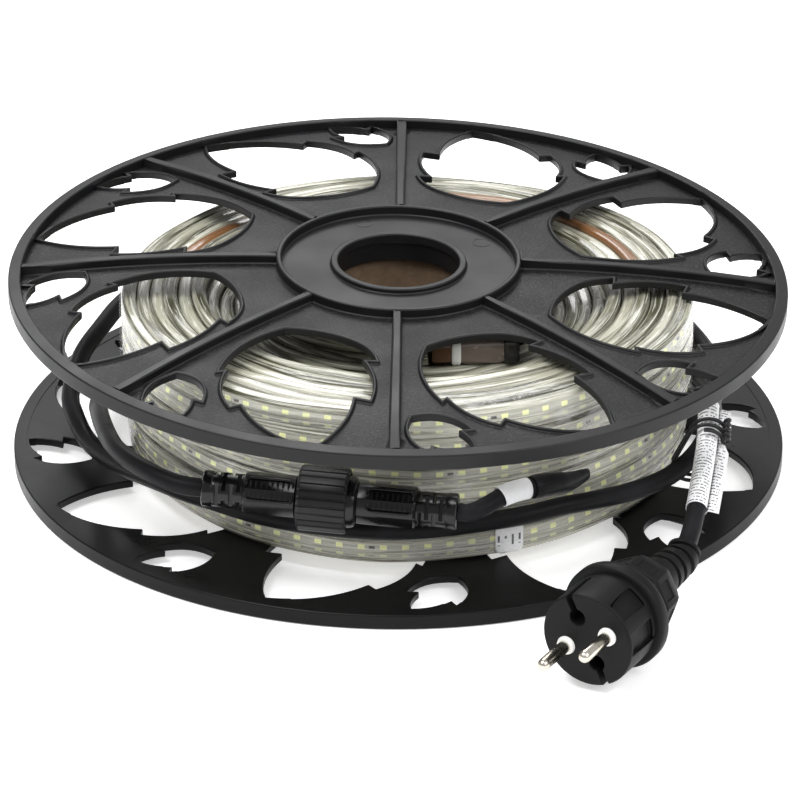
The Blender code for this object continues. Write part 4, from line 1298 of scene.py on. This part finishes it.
def build_connector():
    """Both halves and the ribbed coupling nut."""
    base, total = connector_base()
    shine = moulded_plastic("connector_black", (0.0045, 0.0045, 0.005), 0.22, 1200.0, scuff=0.3, gloss=0.32)
    nut_look = moulded_plastic("coupling_nut_black", (0.010, 0.010, 0.011), 0.38, 1600.0, scuff=0.3)
    end = total/MM
    boot = end-15.8
    # profiles in millimetres along the connector; the boots' and panels' places in metres
    collars = {"left": [(0.0, 0.0), (6.4, 0.0), (7.0, 0.5), (7.0, 3.7), (6.6, 4.2), (0.0, 4.2)],
               "right": [(0.0, end-4.2), (6.6, end-4.2), (7.0, end-3.7), (7.0, end-0.5), (6.4, end),
                         (0.0, end)]}
    grips = {"left": [(0.0, 15.8), (7.0, 15.8), (7.9, 16.6), (GRIP_R, 26.0), (7.9, 35.6), (7.2, 36.4),
                      (7.2, 39.5), (0.0, 39.5)],
             "right": [(0.0, 59.0), (7.5, 59.0), (7.9, 59.8), (GRIP_R, 70.0), (7.9, boot-0.6),
                       (7.4, boot+0.2), (0.0, boot+0.2)]}
    boots = {"left": (3.9*MM, 12.2*MM, 0.3), "right": ((boot-0.1)*MM, 11.9*MM, 0.9)}
    panels = {"left": (17.8*MM, 34.4*MM), "right": (64.0*MM, (boot-1.6)*MM)}
    for side in ("left", "right"):
        name = "connector_"+side
        add_piece(name+"_collar", turned(millimetres(*collars[side]), 48), shine, 40.0, matrix=base)
        dress(name+"_boot", slotted_boot(*boots[side]), shine, matrix=base)
        grip = turned(millimetres(*grips[side]), 64, radius_at=grip_radius)
        add_piece(name+"_dressed", grip, shine, 28.0, node=name, matrix=base)
        for number, angle in enumerate(ridge_angles(base)):
            dress(name+"_ridges_%d" % number, ridge_panel("ridges", *panels[side], angle), shine, matrix=base)
    nut = millimetres((8.0, 0.0), (11.3, 0.0), (12.2, 0.5), (12.65, 1.2), (12.65, 18.2), (12.2, 18.9),
                      (11.5, 19.2), (10.9, 19.2), (10.9, 2.5), (8.0, 2.5))
    shape = turned(nut, NUT_RIBS*8, ring=True, radius_at=nut_radius)
    add_piece("coupling_nut_dressed", shape, nut_look, 30.0, body="nut", node="coupling_nut",
              matrix=base @ Matrix.Translation((0, 0, NUT_START)))
    shoulder = millimetres((0.0, 43.0), (10.3, 43.0), (10.3, 55.4), (10.0, 56.2), (9.9, 57.4), (9.3, 58.6),
                           (8.2, 59.3), (0.0, 59.3))
    add_piece("connector_right_shoulder", turned(shoulder, 64), shine, 30.0, matrix=base)


# Cords, labels and tie

def nearest(points, spot):
    """The number of the point that lies nearest a spot."""
    return min(range(len(points)), key=lambda number: (points[number]-spot).length)


def cord_line():
    """The mains cord's centreline."""
    return smooth_line(route(CORD_ROUTE), 5.0*MM)


def lead_line():
    """The centreline of the strip's lead, with its end inside the shrunk sleeve."""
    return smooth_line(route(LEAD_ROUTE+SHRINK_ROUTE[1:3]), 3.0*MM)


def build_cords(looks):
    """The mains cord and the strip's short lead."""
    color = tuple(looks.rubber)
    for name, line, diameter, shade, rough in (
            ("mains_cord", cord_line(), looks.cord_diameter, color, 0.46),
            ("strip_lead", lead_line(), looks.lead_diameter, scaled(color, 1.2), 0.5)):
        dress(name+"_dressed", cord_curve(name+"_dressed", line, diameter),
              soft_rubber(name+"_rubber", shade, rough), node=name)


def build_lead_parts(looks):
    """The lead's paper ring and the shrunk sleeve with its flat tip."""
    upward = Vector((0, 0, 1))
    held = stations_along(smooth_line(route(LEAD_ROUTE), 2.0*MM), upward)[-8:-1]
    ring = circle(looks.lead_diameter/2+0.35*MM, 40)
    shape = swept(held, lambda _: ring, run=1.0, caps=False)
    look = label_paper("lead_label_paper", tuple(looks.paper))
    thicken(add_piece("lead_label_dressed", shape, look, 50.0, node="lead_label"), 0.3*MM)
    sleeve = smooth_line(route(SHRINK_ROUTE), 2.0*MM)
    last = len(sleeve)-1

    def outline_at(number):
        share = number/last
        ripple = (1+0.012*math.sin(number*2.1))*(0.93 if number in (0, last) else 1.0)
        wide = (4.7-2.2*share**2)*ripple
        thin = (4.7-3.3*share**1.6)*ripple
        return [(wide*a, thin*b) for a, b in circle(MM, 32)]

    look = soft_rubber("heat_shrink_rubber", tuple(looks.rubber), 0.34)
    add_piece("heat_shrink_dressed", swept(stations_along(sleeve, upward), outline_at), look, 50.0,
              node="heat_shrink")


def build_cord_label(looks):
    """The folded paper label round the cord, with its flag and rows of dashes, and the wire tie."""
    points = smooth_line(route(CORD_ROUTE), 2.0*MM)
    top, bottom = (nearest(points, end) for end in route(CORD_LABEL_ENDS))
    held = stations_along(points, Vector((1, 0, 0)))[top:bottom+2]
    last = len(held)-1
    inner = looks.cord_diameter/2+0.35*MM
    pinched = round(last*TIE_PLACE)

    def outline_at(number):
        pinch = max(0.0, 1-abs(number-pinched)/4.0)
        angles = [math.radians(18+332*n/26) for n in range(27)]
        wrap = [(inner*math.cos(angle), inner*math.sin(angle)) for angle in angles]
        flag = CORD_LABEL_FLAG-CORD_LABEL_PINCH*pinch
        curl = 1.2*MM*math.sin(2.5*number/last+0.4)*(1-pinch)
        for part in (n/6 for n in range(1, 7)):
            wrap.append((inner+(flag-inner)*part, -inner*0.10-curl*part*part-0.4*MM*part))
        return wrap

    look = label_paper("cord_label_paper", tuple(looks.paper), rows=34.0, dashes=60.0, margin=0.05)
    shape = swept(held, outline_at, run=1.0, closed_loop=False)
    thicken(add_piece("cord_label_dressed", shape, look, 60.0, node="cord_label"), 0.25*MM, 0.0)
    build_tie(held[pinched], points[:top-20])


def build_tie(station, strand):
    """The wire tie that holds the label and the strand behind it, with its twisted end."""
    front, ahead = station[:2]
    away = strand[nearest(strand, front)]-front
    away -= ahead*away.dot(ahead)
    reach = away.length
    away.normalize()
    side = ahead.cross(away)
    steps = 44
    count = round(steps*TIE_TURNS)
    wire = []
    for step in range(count+1):
        angle = 2*math.pi*step/steps
        behind = math.cos(angle) > 0
        radius = (TIE_BACK_R if behind else TIE_FRONT_R)*(1.0+0.10*math.sin(3*angle*0.37+1.0))
        centre = front+away*reach if behind else front
        wire.append(centre+away*radius*math.cos(angle)+side*radius*math.sin(angle)
                    + ahead*(step/count-0.5)*TIE_SPREAD)
    black = moulded_plastic("twist_tie_black", (0.016, 0.016, 0.017), 0.35)
    dress("twist_tie_dressed", cord_curve("twist_tie_dressed", smooth_line(wire, 1.6*MM), TIE_WIRE), black,
          node="twist_tie")
    at = front-away*5.0*MM+side*6.0*MM
    knot = []
    for share in (step/59 for step in range(60)):
        angle = 10*math.pi*share
        knot.append(at+ahead*(share-0.5)*TIE_END_LENGTH+(away*math.cos(angle)+side*math.sin(angle))*MM)
    dress("twist_tie_knot", cord_curve("twist_tie_knot", knot, TIE_END_WIRE), black)


# Plug

def plug_base():
    """The plug's frame: X along the pins' line, Z out of its face."""
    pin_line = (PLUG_PIN_LINE-PLUG_AXIS*PLUG_PIN_LINE.dot(PLUG_AXIS)).normalized()
    up = PLUG_AXIS.cross(pin_line)
    turn = Matrix((pin_line, up, PLUG_AXIS)).transposed().to_4x4()
    return Matrix.Translation(PLUG_FACE) @ turn


def plug_grip_radius(radius, angle):
    """The plug's grip is turned, with flat facets."""
    step = 2*math.pi/PLUG_FACETS
    return radius*(0.06+0.94/math.cos(((angle+step/2) % step)-step/2))


def build_plug(looks):
    """The round plug: slotted face, skirt, faceted grip and slotted boot, with pins and sleeves."""
    base = plug_base()
    rubber = moulded_plastic("plug_rubber", tuple(looks.plug), 0.5, 1100.0, 0.00005, 0.35, gloss=0.14)
    build_plug_face(base, rubber)
    skirt = millimetres((16.0, -25.5), (19.6, -25.5), (20.5, -25.2), (21.0, -24.3), (21.0, -20.7),
                        (20.5, -19.8), (19.6, -19.5), (16.0, -19.5))
    add_piece("plug_skirt", turned(skirt, 112, ring=True), rubber, 45.0, matrix=base)

    grip = millimetres((0.0, -50.3), (8.6, -50.3), (11.0, -48.6), (13.6, -44.5), (14.6, -41.5),
                       (14.8, -34.2), (14.3, -33.5), (14.4, -31.6), (15.2, -31.0), (15.6, -26.6),
                       (15.4, -25.0), (0.0, -25.0))
    mesh = finish_mesh("plug_grip", turned(grip, 96, radius_at=plug_grip_radius), 22.0)
    cutters = []
    for number in range(PLUG_FACETS):
        place = Matrix.Rotation(2*math.pi*number/PLUG_FACETS, 4, "Z")
        place = place @ Matrix.Translation((15.6*MM, 0, GRIP_RECESS_Z))
        cutters.append(box_cutter((2.6*MM, 7.0*MM, 5.0*MM), place))
    round_edges(dress("plug_grip", carve(mesh, cutters, 22.0), rubber, matrix=base), 0.35*MM)

    start = [base @ Vector((0, 0, -47.0*MM)), base @ Vector((0, 0, -50.0*MM))]
    path = smooth_line(start+route(BOOT_ROUTE), 0.5*MM)
    last = len(path)-1

    def boot_at(number):
        share = number/last
        slotted = 0.2 < share < 0.94 and (share*5.2+0.35) % 1.0 < 0.36
        return circle((9.0-2.6*share-(1.3 if slotted else 0.0))*MM, 48)

    boot = swept(stations_along(path, Vector((1, 0, 0))), boot_at)
    round_edges(add_piece("plug_boot", boot, rubber, 30.0), 0.2*MM)
    build_pins(base)


def build_plug_face(base, rubber):
    """The plug's face part with its two keyholes and its side recesses."""
    face = millimetres((0.0, -20.5), (18.3, -20.5), (18.5, -12.0), (18.5, -1.0), (18.3, -0.3), (17.7, 0.0),
                       (0.0, 0.0))
    mesh = finish_mesh("plug_face", turned(face, 96), 30.0)
    cutters = []
    for sign in (1, -1):
        hole = turned(millimetres((0.0, -9), (3.2, -9), (3.2, 3), (0.0, 3)), 32)
        bmesh.ops.recalc_face_normals(hole, faces=list(hole.faces))
        hole.transform(Matrix.Translation((0, sign*KEYHOLE_OUT, 0)))
        cutters.append(as_cutter(hole))
        # a slot from the hole across the rim, and on down the side
        for size, away, depth in (((2.6, 10.5, 8.0), 15.6, -2.0), ((2.6, 3.0, 16.0), 18.6, -8.5)):
            cutters.append(box_cutter(Vector(size)*MM, Matrix.Translation((0, sign*away*MM, depth*MM))))
        # flat recesses beside the pins
        for turn in (24, -20):
            place = Matrix.Rotation(math.radians(turn)+(0 if sign > 0 else math.pi), 4, "Z")
            place = place @ Matrix.Translation((18.6*MM, 0, -9.6*MM))
            cutters.append(box_cutter((4.2*MM, 8.6*MM, 15.6*MM), place))
    round_edges(dress("plug_face", carve(mesh, cutters, 30.0), rubber, node="plug_body", matrix=base), 0.3*MM)


def build_pins(base):
    """The two nickel pins with rounded tips, and the white sleeves at their feet."""
    nickel, tree, shader, coords = start_material("pin_nickel")
    here = coords.outputs["Object"]
    rub = add_noise(tree, here, 160.0, 3.0, 0.5)
    tree.links.new(add_mix(tree, add_range(tree, rub, 0.35, 0.65), (0.50, 0.46, 0.38), (0.66, 0.62, 0.54)),
                   shader.inputs["Base Color"])
    tree.links.new(add_range(tree, rub, 0.3, 0.7, 0.16, 0.26), shader.inputs["Roughness"])
    shader.inputs["Metallic"].default_value = 1.0
    add_bump(tree, shader, add_noise(tree, here, 2400.0, 2.0), 0.000004)
    white = moulded_plastic("pin_sleeve_white", (0.78, 0.78, 0.76), 0.4)
    pin = millimetres((0.0, -1.5), (2.4, -1.5), (2.4, 16.4), (2.28, 17.4), (1.95, 18.3), (1.35, 18.95),
                      (0.6, 19.25), (0.0, 19.3))
    sleeve = millimetres((2.4, -2.2), (3.5, -2.2), (3.6, 0.4), (3.4, 1.2), (3.0, 1.6), (2.4, 1.7))
    for side, sign in (("left", -1), ("right", 1)):
        foot = base @ Matrix.Translation((sign*PIN_SPACING/2, 0, 0.0))
        for node, shape, look, sharp in (("pin_"+side, turned(pin, 40), nickel, 50.0),
                                         ("pin_sleeve_"+side, turned(sleeve, 40, ring=True), white, 40.0)):
            add_piece(node+"_dressed", shape, look, sharp, node=node, matrix=foot)


# Stage

def build_stage(looks):
    """The camera, the pale floor and soft light from all round."""
    scene = bpy.context.scene
    data = bpy.data.cameras.new("photo_camera")
    data.lens = CAMERA_LENS
    data.sensor_width = 36.0
    data.clip_start = 0.1
    data.clip_end = 50.0
    camera = bpy.data.objects.new("photo_camera", data)
    scene.collection.objects.link(camera)
    ahead = Vector((0, math.cos(CAMERA_DOWN), -math.sin(CAMERA_DOWN)))
    right = Vector((1, 0, 0))
    up = right.cross(ahead)
    c, s = math.cos(CAMERA_ROLL), math.sin(CAMERA_ROLL)
    turned_right = right*c+up*s
    turned_up = up*c-right*s
    camera.matrix_world = Matrix.Translation(CAMERA_AT) @ Matrix(
        (turned_right, turned_up, -ahead)).transposed().to_4x4()
    scene.camera = camera
    scene.view_settings.view_transform = "Standard"

    made, tree, shader, coords = start_material("pale_floor")
    paper = add_noise(tree, coords.outputs["Object"], 30.0, 3.0)
    color = tuple(looks.floor)
    tree.links.new(add_mix(tree, paper, scaled(color, 0.99), color), shader.inputs["Base Color"])
    shader.inputs["Roughness"].default_value = 0.9
    shader.inputs["Emission Color"].default_value = (1, 1, 1, 1)
    shader.inputs["Emission Strength"].default_value = looks.glow
    shape = bmesh.new()
    bmesh.ops.create_grid(shape, x_segments=8, y_segments=8, size=8.0)
    mesh = bpy.data.meshes.new("pale_floor")
    shape.to_mesh(mesh)
    shape.free()
    floor = bpy.data.objects.new("pale_floor", mesh)
    mesh.materials.append(made)
    floor.location = (0, 0, FLOOR_Z)
    scene.collection.objects.link(floor)

    world = bpy.data.worlds.new("white_surround")
    world.use_nodes = True
    sky = world.node_tree.nodes["Background"]
    sky.inputs["Color"].default_value = (1, 1, 1, 1)
    sky.inputs["Strength"].default_value = looks.sky
    scene.world = world
    for name, at, size, power in LAMPS:
        lamp = bpy.data.lights.new(name, "AREA")
        lamp.energy = power
        lamp.size = size
        light = bpy.data.objects.new(name, lamp)
        aim = (LAMPS_AIM-Vector(at)).to_track_quat("-Z", "Y")
        light.matrix_world = Matrix.Translation(at) @ aim.to_matrix().to_4x4()
        scene.collection.objects.link(light)


# Operators

class STRIPLIGHT_OT_stage(bpy.types.Operator):
    """Make the camera, floor and lights"""
    bl_idname = "striplight.stage"
    bl_label = "Stage"

    def execute(self, context):
        build_stage(context.scene.strip_light_stage)
        return {"FINISHED"}


class STRIPLIGHT_OT_cords(bpy.types.Operator):
    """Make the mains cord and the strip's lead"""
    bl_idname = "striplight.cords"
    bl_label = "Cords"

    def execute(self, context):
        build_cords(context.scene.strip_light_cord)
        return {"FINISHED"}


class STRIPLIGHT_OT_flanges(bpy.types.Operator):
    """Make the two flanges"""
    bl_idname = "striplight.flanges"
    bl_label = "Flanges"

    def execute(self, context):
        build_flanges(context.scene.strip_light_reel)
        return {"FINISHED"}


class STRIPLIGHT_OT_core(bpy.types.Operator):
    """Make the cardboard tube"""
    bl_idname = "striplight.core"
    bl_label = "Cardboard Tube"

    def execute(self, context):
        build_core(context.scene.strip_light_reel)
        return {"FINISHED"}


class STRIPLIGHT_OT_coil(bpy.types.Operator):
    """Make the wound strip"""
    bl_idname = "striplight.coil"
    bl_label = "Wound Strip"

    def execute(self, context):
        build_coil(context.scene.strip_light_strip)
        build_inner_strands(context.scene.strip_light_strip)
        return {"FINISHED"}


class STRIPLIGHT_OT_film(bpy.types.Operator):
    """Make the clear film round the coil"""
    bl_idname = "striplight.film"
    bl_label = "Wrapping Film"

    def execute(self, context):
        build_film()
        return {"FINISHED"}


class STRIPLIGHT_OT_strip_end(bpy.types.Operator):
    """Make the strip's inner end"""
    bl_idname = "striplight.strip_end"
    bl_label = "Strip End"

    def execute(self, context):
        build_strip_end()
        return {"FINISHED"}


class STRIPLIGHT_OT_labels(bpy.types.Operator):
    """Make the strip's label, the cord's label and the wire tie"""
    bl_idname = "striplight.labels"
    bl_label = "Labels and Tie"

    def execute(self, context):
        build_strip_label(context.scene.strip_light_cord)
        build_cord_label(context.scene.strip_light_cord)
        return {"FINISHED"}


class STRIPLIGHT_OT_lead_parts(bpy.types.Operator):
    """Make the lead's paper ring and shrunk sleeve"""
    bl_idname = "striplight.lead_parts"
    bl_label = "Lead Parts"

    def execute(self, context):
        build_lead_parts(context.scene.strip_light_cord)
        return {"FINISHED"}


class STRIPLIGHT_OT_connector(bpy.types.Operator):
    """Make the screw connector"""
    bl_idname = "striplight.connector"
    bl_label = "Screw Connector"

    def execute(self, context):
        build_connector()
        return {"FINISHED"}


class STRIPLIGHT_OT_plug(bpy.types.Operator):
    """Make the mains plug"""
    bl_idname = "striplight.plug"
    bl_label = "Mains Plug"

    def execute(self, context):
        build_plug(context.scene.strip_light_cord)
        return {"FINISHED"}


class STRIPLIGHT_OT_declare(bpy.types.Operator):
    """Do nothing"""
    bl_idname = "striplight.declare"
    bl_label = "Declare Cords"

    def execute(self, context):
        return {"FINISHED"}


OPERATORS = (
    STRIPLIGHT_OT_stage,
    STRIPLIGHT_OT_cords,
    STRIPLIGHT_OT_flanges,
    STRIPLIGHT_OT_core,
    STRIPLIGHT_OT_coil,
    STRIPLIGHT_OT_film,
    STRIPLIGHT_OT_strip_end,
    STRIPLIGHT_OT_labels,
    STRIPLIGHT_OT_lead_parts,
    STRIPLIGHT_OT_connector,
    STRIPLIGHT_OT_plug,
    STRIPLIGHT_OT_declare,
)


class STRIPLIGHT_PT_panel(bpy.types.Panel):
    """Pieces of the strip light"""
    bl_idname = "STRIPLIGHT_PT_panel"
    bl_label = "Strip Light"
    bl_space_type = "VIEW_3D"
    bl_region_type = "UI"
    bl_category = "Strip Light"

    def draw(self, context):
        for operator in OPERATORS:
            self.layout.operator(operator.bl_idname)


GROUPS = (
    (ReelLooks, "strip_light_reel"),
    (StripLooks, "strip_light_strip"),
    (CordLooks, "strip_light_cord"),
    (StageLooks, "strip_light_stage"),
)


def register():
    """Register the settings, the operators and the panel."""
    for group, name in GROUPS:
        bpy.utils.register_class(group)
        setattr(bpy.types.Scene, name, PointerProperty(type=group))
    for operator in OPERATORS:
        bpy.utils.register_class(operator)
    bpy.utils.register_class(STRIPLIGHT_PT_panel)


def unregister():
    """Take the panel, the operators and the settings away."""
    bpy.utils.unregister_class(STRIPLIGHT_PT_panel)
    for operator in reversed(OPERATORS):
        bpy.utils.unregister_class(operator)
    for group, name in reversed(GROUPS):
        delattr(bpy.types.Scene, name)
        bpy.utils.unregister_class(group)


def main():
    """Build every piece in order."""
    register()
    bpy.ops.striplight.stage()
    bpy.ops.striplight.cords()
    bpy.ops.striplight.flanges()
    bpy.ops.striplight.core()
    bpy.ops.striplight.coil()
    bpy.ops.striplight.film()
    bpy.ops.striplight.strip_end()
    bpy.ops.striplight.labels()
    bpy.ops.striplight.lead_parts()
    bpy.ops.striplight.connector()
    bpy.ops.striplight.plug()
    bpy.ops.striplight.declare()


if __name__ == "__main__":
    main()
